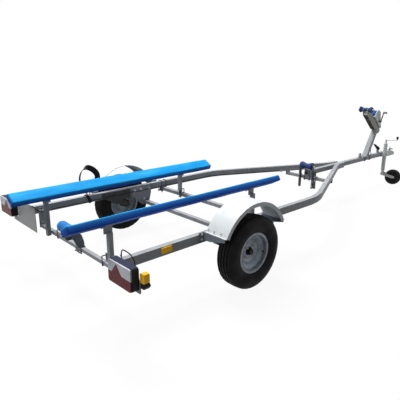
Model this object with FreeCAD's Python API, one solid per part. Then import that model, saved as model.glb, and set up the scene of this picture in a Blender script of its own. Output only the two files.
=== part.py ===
"""Small galvanised boat trailer with padded bunks, keel rollers, winch and jockey wheel.

Millimetres. +X runs forward to the hitch, +Y to the left, +Z up.
The origin is on the ground, on the centre line, a little behind the axis of the road wheels.
"""
import FreeCAD
import Part
import math
import os

V = FreeCAD.Vector

# Chassis rails: box section, straight, then bent inward to the drawbar.
RAIL_WIDTH = 40.0
RAIL_HEIGHT = 60.0
RAIL_TOP = 432.0
RAIL_Y = 654.0
RAIL_REAR_X = -980.0
BEND_REAR_X = 1068.0
BEND_FRONT_X = 2423.0
BEND_REAR_RADIUS = 700.0
BEND_FRONT_RADIUS = 400.0
RAIL_FRONT_X = 2550.0
RAIL_BOTTOM = RAIL_TOP - RAIL_HEIGHT
RAIL_INNER = RAIL_Y - RAIL_WIDTH / 2
RAIL_OUTER = RAIL_Y + RAIL_WIDTH / 2

# Drawbar: square section, open at its rear end.
DRAWBAR_SIDE = 50.0
DRAWBAR_REAR_X = 1865.0
DRAWBAR_FRONT_X = 3722.0
DRAWBAR_WALL = 4.0
DRAWBAR_OPEN_DEPTH = 160.0
DRAWBAR_BOTTOM = RAIL_BOTTOM
DRAWBAR_TOP = DRAWBAR_BOTTOM + DRAWBAR_SIDE
BEND_ANGLE = math.atan((RAIL_Y - (DRAWBAR_SIDE + RAIL_WIDTH) / 2) / (BEND_FRONT_X - BEND_REAR_X))

# Cross tubes: centre X, bottom Z and half length of each.
TUBE_WIDTH = 40.0
TUBE_HEIGHT = 30.0
REAR_TUBE_WIDTH = 30.0
REAR_TUBE_HEIGHT = 25.0
TUBE_WALL = 3.0
TUBE_OPEN_DEPTH = 60.0
PLATE = 6.0
HANGER_INNER = RAIL_INNER - PLATE
REAR_TUBE_X = -835.0
REAR_TUBE_Z = 257.5
AXLE_TUBE_X = 174.0
AXLE_TUBE_Z = 253.0
FRONT_TUBE_X = 391.0
MID_TUBE_X = DRAWBAR_REAR_X + 45.0
MID_TUBE_HALF = 288.0
MID_PACKING = 15.0
UNDER_RAIL_Z = RAIL_BOTTOM - TUBE_HEIGHT
TUBES = (
    # centre x, bottom z, half length, width, height
    (REAR_TUBE_X, REAR_TUBE_Z, HANGER_INNER, REAR_TUBE_WIDTH, REAR_TUBE_HEIGHT),
    (AXLE_TUBE_X, AXLE_TUBE_Z, HANGER_INNER, TUBE_WIDTH, TUBE_HEIGHT),
    (FRONT_TUBE_X, UNDER_RAIL_Z, RAIL_OUTER, TUBE_WIDTH, TUBE_HEIGHT),
    (MID_TUBE_X, UNDER_RAIL_Z - MID_PACKING, MID_TUBE_HALF, TUBE_WIDTH, TUBE_HEIGHT),
)

# Road wheels: 10 inch rims.
WHEEL_X = 10.0
WHEEL_Y = 800.0
WHEEL_RADIUS = 261.0
TYRE_HALF_WIDTH = 72.0
BEAD_RADIUS = 129.0
BEAD_HALF = 47.4
FLANGE_RADIUS = 144.5
RIM_HALF = 54.0
RIM_SHEET = 4.0
WELL_RADIUS = 106.0
DISC_OUT = -4.0
HUB_RADIUS = 30.0
HUB_HOLE = 31.0
STUD_CIRCLE = 50.0
STUD_RADIUS = 6.0
STUD_COUNT = 4
NUT_RADIUS = 10.0
NUT_HEIGHT = 11.0
STUB_RADIUS = 14.0
STUB_FIT = 0.05
STUB_END = 812.0
HUB_INNER_Y = 713.0

# Rubber suspension under each rail.
PIVOT_X = -140.0
PIVOT_Z = RAIL_BOTTOM - 31.0
HOUSING_RADIUS = 36.0
UNIT_REAR_X = PIVOT_X - 50.0
UNIT_FRONT_X = PIVOT_X + 140.0
SIDE_PLATE_REAR_X = PIVOT_X - 147.0
ARM_INNER_Y = 694.0
ARM_THICK = 14.0

# Bunks: padded boards on four posts, tilted toward the keel.
BUNK_REAR_X = -1136.0
BUNK_FRONT_X = 773.0
BUNK_WIDTH = 106.0
BUNK_THICK = 50.0
BUNK_TILT = math.radians(29.0)
BUNK_Y = 406.0
BUNK_Z = 600.0
BUNK_CORNER = 9.0
POST_SIDE = 30.0
POST_Y = 450.0
CRADLE_THICK = 5.0
CRADLE_LENGTH = 60.0
REAR_CLAMP_Y = POST_Y - 130.0
FRONT_CLAMP_Y = POST_Y - 90.0
CLAMP_HEIGHT = 58.0
CRADLE_LEG_Z = 508.0
POST_TOP = 520.0
POST_SPACER = 16.0
POSTS = (
    # post centre x, bottom z, top z
    (REAR_TUBE_X - (REAR_TUBE_WIDTH + POST_SIDE) / 2, REAR_TUBE_Z - 14, POST_TOP),
    (FRONT_TUBE_X + (TUBE_WIDTH + POST_SIDE) / 2 + POST_SPACER, UNDER_RAIL_Z - 14, POST_TOP),
)

# Mudguards: one rolled sheet over each wheel.
GUARD_X = -5.0
GUARD_Z = 303.0
GUARD_RADIUS = 325.0
GUARD_SHEET = 4.0
GUARD_INNER_Y = 694.0
GUARD_OUTER_Y = 880.0
GUARD_LIP = 27.0
GUARD_FLANGE_Z = 445.0
GUARD_FLANGE = 12.0
GUARD_ARM_Y = 870.0
GUARD_ARM_LOW = 392.0
GUARD_ARM_REACH = 296.0

# Lamps at the tail.
LAMP_PLATE = 5.0
LAMP_DEPTH = 52.0
LENS_DEPTH = 9.0
LAMP_INNER_Y = 706.0
LAMP_OUTER_Y = 925.0
LAMP_BOTTOM = 361.0
LAMP_TOP = 493.0

# Keel rollers, turning on fixed pins.
REAR_ROLLER_X = REAR_TUBE_X - 90.0
REAR_ROLLER_Z = 435.0
MID_ROLLER_X = MID_TUBE_X - 40.0
MID_ROLLER_Z = 475.0
BOW_ROLLER_X = 3070.0
BOW_ROLLER_Z = 1015.0
PIN_RADIUS = 8.0
PIN_FIT = 0.06
KEEL_ARM = 5.0
KEEL_ARM_GAP = 6.0
REAR_ROLLER_HALF = 78.0
MID_ROLLER_HALF = 70.0
BOW_ROLLER_HALF = 76.0
BOW_WAIST_HALF = 20.5
BOW_WAIST_RADIUS = 23.0
BOW_CUP_START = 35.0
EAR_OUTER = 30.0
EAR_SHEET = 4.0
KEEL_WEB_HALF = 42.0
KEEL_WEB_HANG = 16.0
KEEL_SHOULDER = 30.0
KEEL_YOKE = 34.0
REAR_KEEL_BOLT_Y = KEEL_WEB_HALF - 16.0
MID_KEEL_BOLT_Y = MID_ROLLER_HALF + KEEL_ARM_GAP + 24
KEEL_SLOTS = ((246.0, 276.0), (292.0, 322.0))

# Winch post, leaning arm and hand winch.
POST_WIDTH = 60.0
POST_LENGTH = 60.0
WINCH_BASE_LENGTH = 156.0
WINCH_BASE_X = 3116.0
WINCH_BASE_TOP = DRAWBAR_TOP + PLATE
POST_TOP_X = WINCH_BASE_X + 289.0
POST_TOP_Z = DRAWBAR_TOP + 333.0
ARM_FOOT_X = POST_TOP_X + 30.0
ARM_FOOT_LENGTH = 130.0
ARM_HEAD_X = BOW_ROLLER_X + 100.0
ARM_HEAD_Z = BOW_ROLLER_Z - 39.0
EYE_X = 3036.0
EYE_Z = 452.0
WINCH_PLATE_HALF = 45.0
WINCH_SHEET = 4.0
DRUM_ALONG = 195.0
DRUM_OUT = 80.0
CRANK_ALONG = 112.0
CRANK_OUT = 34.0
CRANK_REACH = 122.0
CRANK_ANGLE = math.radians(63.0)
CRANK_GRIP = 38.0
DRUM_FLANGE = 52.0
DRUM_CORE = 20.0
DRUM_HALF = 36.0
GEAR_RADIUS = 74.0
GEAR_THICK = 8.0
PINION_RADIUS = 16.5
STRAP_RADIUS = 46.0

# Coupling head and its lever.
HEAD_WALL = 5.0
BALL_X = DRAWBAR_FRONT_X + 233.0
BALL_Z = 372.0
BALL_RADIUS = 25.0
SOCKET_FIT = 0.5
HEAD_RADIUS = 33.0
HEAD_LOW = 352.0
LEVER_X = DRAWBAR_FRONT_X + 113.0
LEVER_Z = 436.0
LEVER_RADIUS = 32.0
LEVER_HALF = 20.0
LEVER_GAP = 1.0
LEVER_CLEARANCE = 5.0
LEVER_SHEET = 4.0
LEVER_BOSS = 8.0
LEVER_PIN = 5.0

# Jockey wheel on a clamped tube beside the drawbar.
JOCKEY_X = DRAWBAR_FRONT_X - 107.0
JOCKEY_TUBE_RADIUS = 24.0
JOCKEY_COLLAR = 7.0
JOCKEY_Y = -(DRAWBAR_SIDE / 2 + JOCKEY_TUBE_RADIUS + JOCKEY_COLLAR)
JOCKEY_LEG_RADIUS = 20.0
JOCKEY_SLIDE_FIT = 0.4
JOCKEY_TUBE_BOTTOM = 186.0
JOCKEY_TUBE_TOP = 545.0
JOCKEY_LEG_BOTTOM = 152.0
JOCKEY_WHEEL_RADIUS = 100.0
JOCKEY_WHEEL_HALF = 26.0
JOCKEY_TRAIL = 135.0
JOCKEY_HEADING = math.radians(-64.4)
JOCKEY_ARM_Z = 586.0
JOCKEY_ARM_REACH = 150.0
JOCKEY_ARM_HEADING = -40.0

# Plug, parked over the drawbar.
PLUG_TAIL = V(3406, 0, 547)
PLUG_NOSE = V(3532, 0, 477)
PLUG_RING = 20.0
HOLDER_X = 3508.0
GROMMET_X = 3335.0
GROMMET_TOP = DRAWBAR_TOP + 12.5

# U-bolts: the inside of each bend stays clear of the square corner it goes round.
CLAMP_RADIUS = 4.0
CLAMP_GAP = 0.3
CLAMP_BEND = CLAMP_RADIUS + 0.5

# Lamp cables.
CABLE_RADIUS = 3.5
CABLE_Y = 620.0


def box(x0, x1, y0, y1, z0, z1):
    return Part.makeBox(x1 - x0, y1 - y0, z1 - z0, V(x0, y0, z0))


def mirrored(shape):
    return shape.mirror(V(0, 0, 0), V(0, 1, 0))


def pair(shape):
    return [shape, mirrored(shape)]


def rounded_face(points, radii):
    """Flat face inside a closed loop of points, each corner rounded by its own radius."""
    count = len(points)
    corners = []
    for i, (corner, radius) in enumerate(zip(points, radii)):
        if radius == 0:
            corners.append((corner, None, corner))
            continue
        back = (points[i - 1] - corner).normalize()
        ahead = (points[(i + 1) % count] - corner).normalize()
        half = back.getAngle(ahead) / 2
        reach = radius / math.tan(half)
        middle = (back + ahead).normalize() * (radius / math.sin(half) - radius)
        corners.append((corner + back * reach, corner + middle, corner + ahead * reach))
    edges = []
    for i, (start, through, end) in enumerate(corners):
        if through is not None:
            edges.append(Part.Arc(start, through, end).toShape())
        edges.append(Part.makeLine(end, corners[(i + 1) % count][0]))
    return Part.Face(Part.Wire(edges))


def side_prism(points, y0, y1, radius=0.0):
    """Solid from an outline of (x, z) points, between two values of y."""
    flat = rounded_face([V(x, y0, z) for x, z in points], [radius] * len(points))
    return flat.extrude(V(0, y1 - y0, 0))


def end_prism(points, x0, x1, radius=0.0):
    """Solid from an outline of (y, z) points, between two values of x."""
    flat = rounded_face([V(x0, y, z) for y, z in points], [radius] * len(points))
    return flat.extrude(V(x1 - x0, 0, 0))


def bar_y(x, z, y0, y1, radius):
    return Part.makeCylinder(radius, y1 - y0, V(x, y0, z), V(0, 1, 0))


def bar_z(x, y, z0, z1, radius):
    return Part.makeCylinder(radius, z1 - z0, V(x, y, z0), V(0, 0, 1))


def spun_y(profile, x, y, z):
    """Ring or disc turned about a Y axis, from (radius, offset along y) points."""
    points = [V(x, y + offset, z + radius) for radius, offset in profile]
    flat = Part.Face(Part.makePolygon(points + points[:1]))
    return flat.revolve(V(x, y, z), V(0, 1, 0), 360)


def rod(points, bends, radius):
    """Round bar along straight runs joined by tangent arcs."""
    edges = []
    start = points[0]
    for i in range(1, len(points) - 1):
        corner = points[i]
        back = (points[i - 1] - corner).normalize()
        ahead = (points[i + 1] - corner).normalize()
        half = back.getAngle(ahead) / 2
        reach = bends[i - 1] / math.tan(half)
        middle = (back + ahead).normalize() * (bends[i - 1] / math.sin(half) - bends[i - 1])
        edges.append(Part.makeLine(start, corner + back * reach))
        end = corner + ahead * reach
        edges.append(Part.Arc(corner + back * reach, corner + middle, end).toShape())
        start = end
    edges.append(Part.makeLine(start, points[-1]))
    ring = Part.Wire(Part.makeCircle(radius, points[0], points[1] - points[0]))
    return Part.Wire(edges).makePipeShell([ring], True, False)


def cord(points, radius):
    """Flexible cord: each arc takes 0.45 of the shorter run beside it."""
    bends = []
    for before, corner, after in zip(points, points[1:], points[2:]):
        turn = (corner - before).getAngle(after - corner)
        shorter = min((corner - before).Length, (after - corner).Length)
        bends.append(0.45 * shorter / math.tan(turn / 2))
    return rod(points, bends, radius)


def rail():
    shift = math.tan(BEND_ANGLE / 2) * RAIL_WIDTH / 2
    half = RAIL_WIDTH / 2
    outline = []
    radii = []
    for side in (1, -1):
        run = [
            (RAIL_REAR_X, RAIL_Y, 0.0),
            (BEND_REAR_X + side * shift, RAIL_Y, BEND_REAR_RADIUS + side * half),
            (BEND_FRONT_X + side * shift, (DRAWBAR_SIDE + RAIL_WIDTH) / 2, BEND_FRONT_RADIUS - side * half),
            (RAIL_FRONT_X, (DRAWBAR_SIDE + RAIL_WIDTH) / 2, 0.0),
        ]
        for x, y, radius in run[::side]:
            outline.append(V(x, y + side * half, RAIL_BOTTOM))
            radii.append(radius)
    return rounded_face(outline, radii).extrude(V(0, 0, RAIL_HEIGHT))


def drawbar():
    half = DRAWBAR_SIDE / 2
    solid = box(DRAWBAR_REAR_X, DRAWBAR_FRONT_X, -half, half, DRAWBAR_BOTTOM, DRAWBAR_TOP)
    inner = half - DRAWBAR_WALL
    low = DRAWBAR_BOTTOM + DRAWBAR_WALL
    high = DRAWBAR_TOP - DRAWBAR_WALL
    return solid.cut(box(DRAWBAR_REAR_X, DRAWBAR_REAR_X + DRAWBAR_OPEN_DEPTH, -inner, inner, low, high))


def cross_tube(x, z, half_length, width, height):
    half = width / 2
    inner = half - TUBE_WALL
    tube = box(x - half, x + half, -half_length, half_length, z, z + height)
    low = z + TUBE_WALL
    high = z + height - TUBE_WALL
    for end in pair(box(x - inner, x + inner, half_length - TUBE_OPEN_DEPTH, half_length, low, high)):
        tube = tube.cut(end)
    return tube


def mid_packing():
    """Packing between the mid tube and the drawbar and rails above it."""
    low = UNDER_RAIL_Z - MID_PACKING + TUBE_HEIGHT
    rail_y = RAIL_Y - (MID_TUBE_X - BEND_REAR_X) * math.tan(BEND_ANGLE)
    x0 = MID_TUBE_X - TUBE_WIDTH / 2
    x1 = MID_TUBE_X + TUBE_WIDTH / 2
    sides = pair(box(x0, x1, rail_y - 14, min(rail_y + 14, MID_TUBE_HALF), low, RAIL_BOTTOM))
    return sides + [box(x0, x1, -DRAWBAR_SIDE / 2, DRAWBAR_SIDE / 2, low, RAIL_BOTTOM)]


def rear_hanger():
    half = REAR_TUBE_WIDTH / 2 + 6
    low = REAR_TUBE_Z - 4
    high = RAIL_TOP - 14
    outline = [(-half, low), (half, low), (half + 14, high), (-half, high)]
    shape = [(REAR_TUBE_X + x, z) for x, z in outline]
    return side_prism(shape, HANGER_INNER, RAIL_INNER, 6)


def axle_hanger():
    low = AXLE_TUBE_Z - 6
    high = RAIL_TOP - 20
    outline = [(-152, high), (58, high), (58, high - 60), (32, low), (-40, low), (-90, 286), (-152, 356)]
    return side_prism([(AXLE_TUBE_X + x, z) for x, z in outline], HANGER_INNER, RAIL_INNER, 14)


def suspension_unit():
    """Side plate on the rail with the rubber housing hung below it."""
    high = RAIL_TOP - 8
    low = RAIL_BOTTOM - 38
    outline = [
        (SIDE_PLATE_REAR_X, RAIL_BOTTOM + 8),
        (SIDE_PLATE_REAR_X, high),
        (UNIT_FRONT_X, high),
        (UNIT_FRONT_X, low),
        (UNIT_REAR_X, low),
    ]
    plate = side_prism(outline, HANGER_INNER, RAIL_INNER, 5)
    block = box(UNIT_REAR_X + 8, UNIT_FRONT_X - 8, RAIL_INNER, RAIL_OUTER, RAIL_BOTTOM - 20, RAIL_BOTTOM)
    housing = bar_y(PIVOT_X, PIVOT_Z, HANGER_INNER, ARM_INNER_Y - 4, HOUSING_RADIUS)
    above = box(PIVOT_X - 60, PIVOT_X + 60, HANGER_INNER, ARM_INNER_Y, RAIL_BOTTOM, RAIL_TOP)
    return plate.fuse(block).fuse(housing.cut(above)).removeSplitter()


def suspension_arm():
    """Leading arm from the housing to the stub that carries the hub."""
    outer = ARM_INNER_Y + ARM_THICK
    swing = V(WHEEL_X - PIVOT_X, 0, WHEEL_RADIUS - PIVOT_Z)
    across = V(swing.z, 0, -swing.x).normalize()
    pivot = V(PIVOT_X, ARM_INNER_Y, PIVOT_Z)
    stub = V(WHEEL_X, ARM_INNER_Y, WHEEL_RADIUS)
    corners = [pivot + across * 30, stub + across * 22, stub - across * 22, pivot - across * 30]
    web = Part.Face(Part.makePolygon(corners + corners[:1])).extrude(V(0, ARM_THICK, 0))
    boss = bar_y(PIVOT_X, PIVOT_Z, ARM_INNER_Y - 4, outer, 30)
    eye = bar_y(WHEEL_X, WHEEL_RADIUS, ARM_INNER_Y, outer, 22)
    pin = bar_y(WHEEL_X, WHEEL_RADIUS, ARM_INNER_Y, STUB_END, STUB_RADIUS)
    return web.fuse(boss).fuse(eye).fuse(pin).removeSplitter()


def tyre(side):
    x = WHEEL_X
    y = side * WHEEL_Y
    z = WHEEL_RADIUS

    def at(radius, offset):
        return V(x, y + offset, z + radius)

    wall = TYRE_HALF_WIDTH
    edges = [
        Part.makeLine(at(BEAD_RADIUS, -BEAD_HALF), at(146, -BEAD_HALF)),
        Part.makeLine(at(146, -BEAD_HALF), at(149, -58)),
        Part.Arc(at(149, -58), at(198, -wall), at(241, -63)).toShape(),
        Part.Arc(at(241, -63), at(253, -56), at(258, -44)).toShape(),
        Part.Arc(at(258, -44), at(WHEEL_RADIUS, 0), at(258, 44)).toShape(),
        Part.Arc(at(258, 44), at(253, 56), at(241, 63)).toShape(),
        Part.Arc(at(241, 63), at(198, wall), at(149, 58)).toShape(),
        Part.makeLine(at(149, 58), at(146, BEAD_HALF)),
        Part.makeLine(at(146, BEAD_HALF), at(BEAD_RADIUS, BEAD_HALF)),
        Part.makeLine(at(BEAD_RADIUS, BEAD_HALF), at(BEAD_RADIUS, -BEAD_HALF)),
    ]
    return Part.Face(Part.Wire(edges)).revolve(V(x, y, z), V(0, 1, 0), 360)


def wheel_rim(side):
    """Pressed rim with its drop centre and a bolted disc."""
    outline = [(FLANGE_RADIUS, 54), (FLANGE_RADIUS, 50), (128, 48), (127, 28), (WELL_RADIUS, 20)]
    outer = outline + [(radius, -offset) for radius, offset in reversed(outline)]
    back = [(124, -RIM_HALF), (123, -30), (WELL_RADIUS - RIM_SHEET, -22)]
    inner = back + [(radius, -offset) for radius, offset in reversed(back)]
    barrel = spun_y(outer + inner, WHEEL_X, side * WHEEL_Y, WHEEL_RADIUS)
    reach = WELL_RADIUS - RIM_SHEET / 2
    disc_profile = [
        (HUB_HOLE, DISC_OUT),
        (66, DISC_OUT),
        (80, DISC_OUT + 9),
        (reach, DISC_OUT + 9),
        (reach, DISC_OUT + 13),
        (78, DISC_OUT + 13),
        (64, DISC_OUT + 4),
        (HUB_HOLE, DISC_OUT + 4),
    ]
    disc = spun_y([(r, side * offset) for r, offset in disc_profile], WHEEL_X, side * WHEEL_Y, WHEEL_RADIUS)
    rim = barrel.fuse(disc)
    for x, z in stud_places():
        rim = rim.cut(bar_y(x, z, side * WHEEL_Y - 30, side * WHEEL_Y + 30, STUD_RADIUS + 0.4))
    return rim.removeSplitter()


def stud_places():
    places = []
    for i in range(STUD_COUNT):
        turn = math.radians(45 + 360 * i / STUD_COUNT)
        places.append((WHEEL_X + STUD_CIRCLE * math.cos(turn), WHEEL_RADIUS + STUD_CIRCLE * math.sin(turn)))
    return places


def hub():
    """Left hub: body, flange behind the disc, studs, nuts and grease cap."""
    face = WHEEL_Y + DISC_OUT
    profile = [
        (0, 826),
        (17, 826),
        (21, 820),
        (21, 806),
        (HUB_RADIUS, 804),
        (HUB_RADIUS, face),
        (64, face),
        (64, face - 9),
        (36, face - 14),
        (34, HUB_INNER_Y),
        (0, HUB_INNER_Y),
    ]
    body = spun_y([(r, y - WHEEL_Y) for r, y in profile], WHEEL_X, WHEEL_Y, WHEEL_RADIUS)
    body = body.cut(bar_y(WHEEL_X, WHEEL_RADIUS, HUB_INNER_Y, STUB_END + 2, STUB_RADIUS + STUB_FIT))
    for x, z in stud_places():
        body = body.fuse(bar_y(x, z, face - 1, face + 26, STUD_RADIUS))
        body = body.fuse(bar_y(x, z, face + 4, face + 4 + NUT_HEIGHT, NUT_RADIUS))
    return body.removeSplitter()


def bunk_frame(across, down):
    """Point on the left board's section: across its width, and down from its top face."""
    y = BUNK_Y + across * math.cos(BUNK_TILT) + down * math.sin(BUNK_TILT)
    z = BUNK_Z + across * math.sin(BUNK_TILT) - down * math.cos(BUNK_TILT)
    return y, z


def bunk():
    half = BUNK_WIDTH / 2
    section = [(-half, 0), (half, 0), (half, BUNK_THICK), (-half, BUNK_THICK)]
    return end_prism([bunk_frame(a, d) for a, d in section], BUNK_REAR_X, BUNK_FRONT_X, BUNK_CORNER)


def bunk_post(x, low, high):
    half = POST_SIDE / 2
    return box(x - half, x + half, POST_Y - half, POST_Y + half, low, high)


def bunk_cradle(x):
    """Bent plate: one leg on the post, the other under the board."""
    top = BUNK_THICK
    under = BUNK_THICK + CRADLE_THICK
    inner_face = POST_Y - POST_SIDE / 2
    reach = 38
    corner_y = inner_face - CRADLE_THICK
    outline = [
        bunk_frame(-reach, top),
        bunk_frame(reach, top),
        bunk_frame(reach, under),
        (inner_face, bunk_under(inner_face)),
        (inner_face, CRADLE_LEG_Z),
        (corner_y, CRADLE_LEG_Z),
        (corner_y, bunk_under(corner_y)),
        bunk_frame(-reach, under),
    ]
    return end_prism(outline, x - CRADLE_LENGTH / 2, x + CRADLE_LENGTH / 2)


def bunk_under(y):
    base_y, base_z = bunk_frame(0, BUNK_THICK + CRADLE_THICK)
    return base_z + (y - base_y) * math.tan(BUNK_TILT)


def u_over(x, y, half, top, bottom):
    """U-bolt astride a bar that runs along X, legs down."""
    reach = half + CLAMP_GAP + CLAMP_RADIUS
    crown = top + CLAMP_GAP + CLAMP_RADIUS
    right = [V(x, y - reach, bottom), V(x, y - reach, crown)]
    left = [V(x, y + reach, crown), V(x, y + reach, bottom)]
    return rod(right + left, [CLAMP_BEND, CLAMP_BEND], CLAMP_RADIUS)


def u_round(y, closed_x, open_x, z0, z1):
    """U-bolt lying round a cross tube, its crown beyond closed_x and its legs out to open_x."""
    ahead = 1 if closed_x > open_x else -1
    crown = closed_x + ahead * (CLAMP_GAP + CLAMP_RADIUS)
    low = z0 - CLAMP_GAP - CLAMP_RADIUS
    high = z1 + CLAMP_GAP + CLAMP_RADIUS
    points = [V(open_x, y, low), V(crown, y, low), V(crown, y, high), V(open_x, y, high)]
    return rod(points, [CLAMP_BEND, CLAMP_BEND], CLAMP_RADIUS)


def post_clamps():
    """At each post's foot: a U-bolt beside it round the cross tube, drawn up on a flat plate."""
    pieces = []
    rows = (
        # clamp y, closed face x, plate face x, tube bottom z
        (REAR_CLAMP_Y, REAR_TUBE_X - REAR_TUBE_WIDTH / 2, REAR_TUBE_X + REAR_TUBE_WIDTH / 2, REAR_TUBE_Z),
        (FRONT_CLAMP_Y, FRONT_TUBE_X + TUBE_WIDTH / 2, FRONT_TUBE_X - TUBE_WIDTH / 2, UNDER_RAIL_Z),
    )
    for y, closed_x, plate_x, z0 in rows:
        z1 = z0 + CLAMP_HEIGHT
        ahead = 1 if plate_x > closed_x else -1
        pieces += pair(u_round(y, closed_x, plate_x, z0, z1))
        ends = sorted((plate_x, plate_x + ahead * CRADLE_THICK))
        pieces += pair(box(ends[0], ends[1], y - 14, y + 14, z0 - 14, z1 + 14))
    x = FRONT_TUBE_X + TUBE_WIDTH / 2
    half = POST_SIDE / 2
    spacer = box(x, x + POST_SPACER, POST_Y - half, POST_Y + half, UNDER_RAIL_Z, RAIL_BOTTOM)
    return pieces + pair(spacer)


def rail_clamps():
    """U-bolts that hold the front tube under the rails and the mid tube under the drawbar."""
    pieces = []
    low = UNDER_RAIL_Z - CRADLE_THICK
    reach = TUBE_WIDTH / 2 + CLAMP_RADIUS + 2
    for x in (FRONT_TUBE_X - reach, FRONT_TUBE_X + reach):
        pieces += pair(u_over(x, RAIL_Y, RAIL_WIDTH / 2, RAIL_TOP, UNDER_RAIL_Z))
    half = RAIL_WIDTH / 2 + 14
    pieces += pair(box(FRONT_TUBE_X - 36, FRONT_TUBE_X + 36, RAIL_Y - half, RAIL_Y + half, low, UNDER_RAIL_Z))
    mid_low = UNDER_RAIL_Z - MID_PACKING
    for x in (MID_TUBE_X - reach, MID_TUBE_X + reach):
        pieces.append(u_over(x, 0, DRAWBAR_SIDE / 2, DRAWBAR_TOP, mid_low))
    pieces.append(box(MID_TUBE_X - 36, MID_TUBE_X + 36, -44, 44, mid_low - CRADLE_THICK, mid_low))
    return pieces


def keel_clamps():
    rear = REAR_TUBE_WIDTH / 2
    top = REAR_TUBE_Z + REAR_TUBE_HEIGHT
    pieces = pair(u_round(REAR_KEEL_BOLT_Y, REAR_TUBE_X + rear, REAR_TUBE_X - rear, REAR_TUBE_Z, top))
    mid = TUBE_WIDTH / 2
    z0 = UNDER_RAIL_Z - MID_PACKING
    pieces += pair(u_round(MID_KEEL_BOLT_Y, MID_TUBE_X + mid, MID_TUBE_X - mid, z0, z0 + TUBE_HEIGHT))
    return pieces


def winch_clamps():
    """U-bolts under the drawbar, legs up to the winch post's base."""
    pieces = []
    for x in (WINCH_BASE_X + 14, WINCH_BASE_X + WINCH_BASE_LENGTH - 14):
        bolt = u_over(x, 0, DRAWBAR_SIDE / 2, -DRAWBAR_BOTTOM, -DRAWBAR_TOP)
        pieces.append(bolt.mirror(V(0, 0, 0), V(0, 0, 1)))
    return pieces


def mudguard():
    """Rolled sheet with an outer lip, and a narrow bolting flange at each end."""
    low_angle = math.degrees(math.asin((GUARD_FLANGE_Z + 2 - GUARD_Z) / GUARD_RADIUS))
    sweep = 180 - 2 * low_angle
    rings = (
        # inner radius, inner y
        (GUARD_RADIUS - GUARD_SHEET, GUARD_INNER_Y),
        (GUARD_RADIUS - GUARD_LIP, GUARD_OUTER_Y - GUARD_SHEET),
    )
    solids = []
    for r0, y0 in rings:
        loop = ((r0, y0), (GUARD_RADIUS, y0), (GUARD_RADIUS, GUARD_OUTER_Y), (r0, GUARD_OUTER_Y))
        corners = [V(GUARD_X + r, y, GUARD_Z) for r, y in loop]
        flat = Part.Face(Part.makePolygon(corners + corners[:1]))
        flat.rotate(V(GUARD_X, 0, GUARD_Z), V(0, 1, 0), -low_angle)
        solids.append(flat.revolve(V(GUARD_X, 0, GUARD_Z), V(0, -1, 0), sweep))
    edge = (GUARD_RADIUS - GUARD_SHEET) * math.cos(math.radians(low_angle))
    top = GUARD_FLANGE_Z + GUARD_SHEET
    for x in (GUARD_X - edge - GUARD_FLANGE, GUARD_X + edge):
        solids.append(box(x, x + GUARD_FLANGE, GUARD_INNER_Y, GUARD_OUTER_Y, GUARD_FLANGE_Z, top))
    return solids[0].fuse(solids[1:]).removeSplitter()


def mudguard_arm(ahead):
    """Bracket on the rail's outer face whose upright plate carries a mudguard's end."""
    face = GUARD_X + ahead * GUARD_ARM_REACH
    near = sorted((face, face + ahead * CRADLE_THICK))
    far = sorted((face, face + ahead * 44))
    outline = [
        (RAIL_OUTER, GUARD_ARM_LOW),
        (RAIL_OUTER, GUARD_FLANGE_Z),
        (GUARD_ARM_Y, GUARD_FLANGE_Z),
        (GUARD_ARM_Y, GUARD_FLANGE_Z - 22),
        (RAIL_OUTER + 60, GUARD_ARM_LOW),
    ]
    side = box(far[0], far[1], RAIL_OUTER, RAIL_OUTER + PLATE, GUARD_ARM_LOW - 14, GUARD_FLANGE_Z)
    return side.fuse(end_prism(outline, near[0], near[1])).removeSplitter()


def lamp_plate():
    """Plate across the rail's rear end, with a tab for the marker lamp."""
    outline = [(636, 372), (636, 446), (690, 486), (900, 486), (932, 392), (932, 343), (866, 343), (846, 372)]
    return end_prism(outline, RAIL_REAR_X - LAMP_PLATE, RAIL_REAR_X, 8)


def number_plate():
    back = RAIL_REAR_X - LAMP_PLATE
    outline = [(360, 318), (360, 505), (698, 505), (698, 357), (790, 357), (790, 318)]
    return end_prism(outline, back - 4, back, 5)


def lamp_body():
    back = RAIL_REAR_X - LAMP_PLATE
    rear = back - LAMP_DEPTH + LENS_DEPTH
    outline = [(LAMP_INNER_Y, LAMP_BOTTOM), (LAMP_INNER_Y, LAMP_TOP), (LAMP_OUTER_Y, LAMP_TOP),
               (LAMP_OUTER_Y, LAMP_BOTTOM)]
    return end_prism(outline, rear, back, 16)


def lamp_lens():
    rear = RAIL_REAR_X - LAMP_PLATE - LAMP_DEPTH
    outline = [(LAMP_INNER_Y + 3, LAMP_BOTTOM + 3), (LAMP_INNER_Y + 3, LAMP_TOP - 3),
               (LAMP_OUTER_Y - 3, LAMP_TOP - 3), (LAMP_OUTER_Y - 3, LAMP_BOTTOM + 3)]
    return end_prism(outline, rear, rear + LENS_DEPTH, 13)


def marker_arm():
    """Rubber foot that carries the amber marker lamp outboard."""
    outline = [(922, 376), (956, 376), (972, 396), (964, 408), (922, 408)]
    return end_prism(outline, RAIL_REAR_X, RAIL_REAR_X + 34, 4)


def marker_lens():
    return end_prism([(924, 408), (924, 462), (963, 462), (963, 408)], RAIL_REAR_X, RAIL_REAR_X + 34, 8)


def side_reflector():
    return box(-648, -572, RAIL_OUTER, RAIL_OUTER + 8, 389, 426)


def roller(x, z, half, bore, profile):
    """Keel or bow roller, symmetrical about the trailer's centre line."""
    left = [(radius, offset) for radius, offset in profile]
    outer = left + [(radius, -offset) for radius, offset in reversed(left) if offset > 0]
    points = [V(x, offset, z + radius) for radius, offset in outer]
    ring = [V(x, -half, z + bore)] + points[::-1] + [V(x, half, z + bore)]
    flat = Part.Face(Part.makePolygon(ring + ring[:1]))
    return flat.revolve(V(x, 0, z), V(0, 1, 0), 360)


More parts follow.
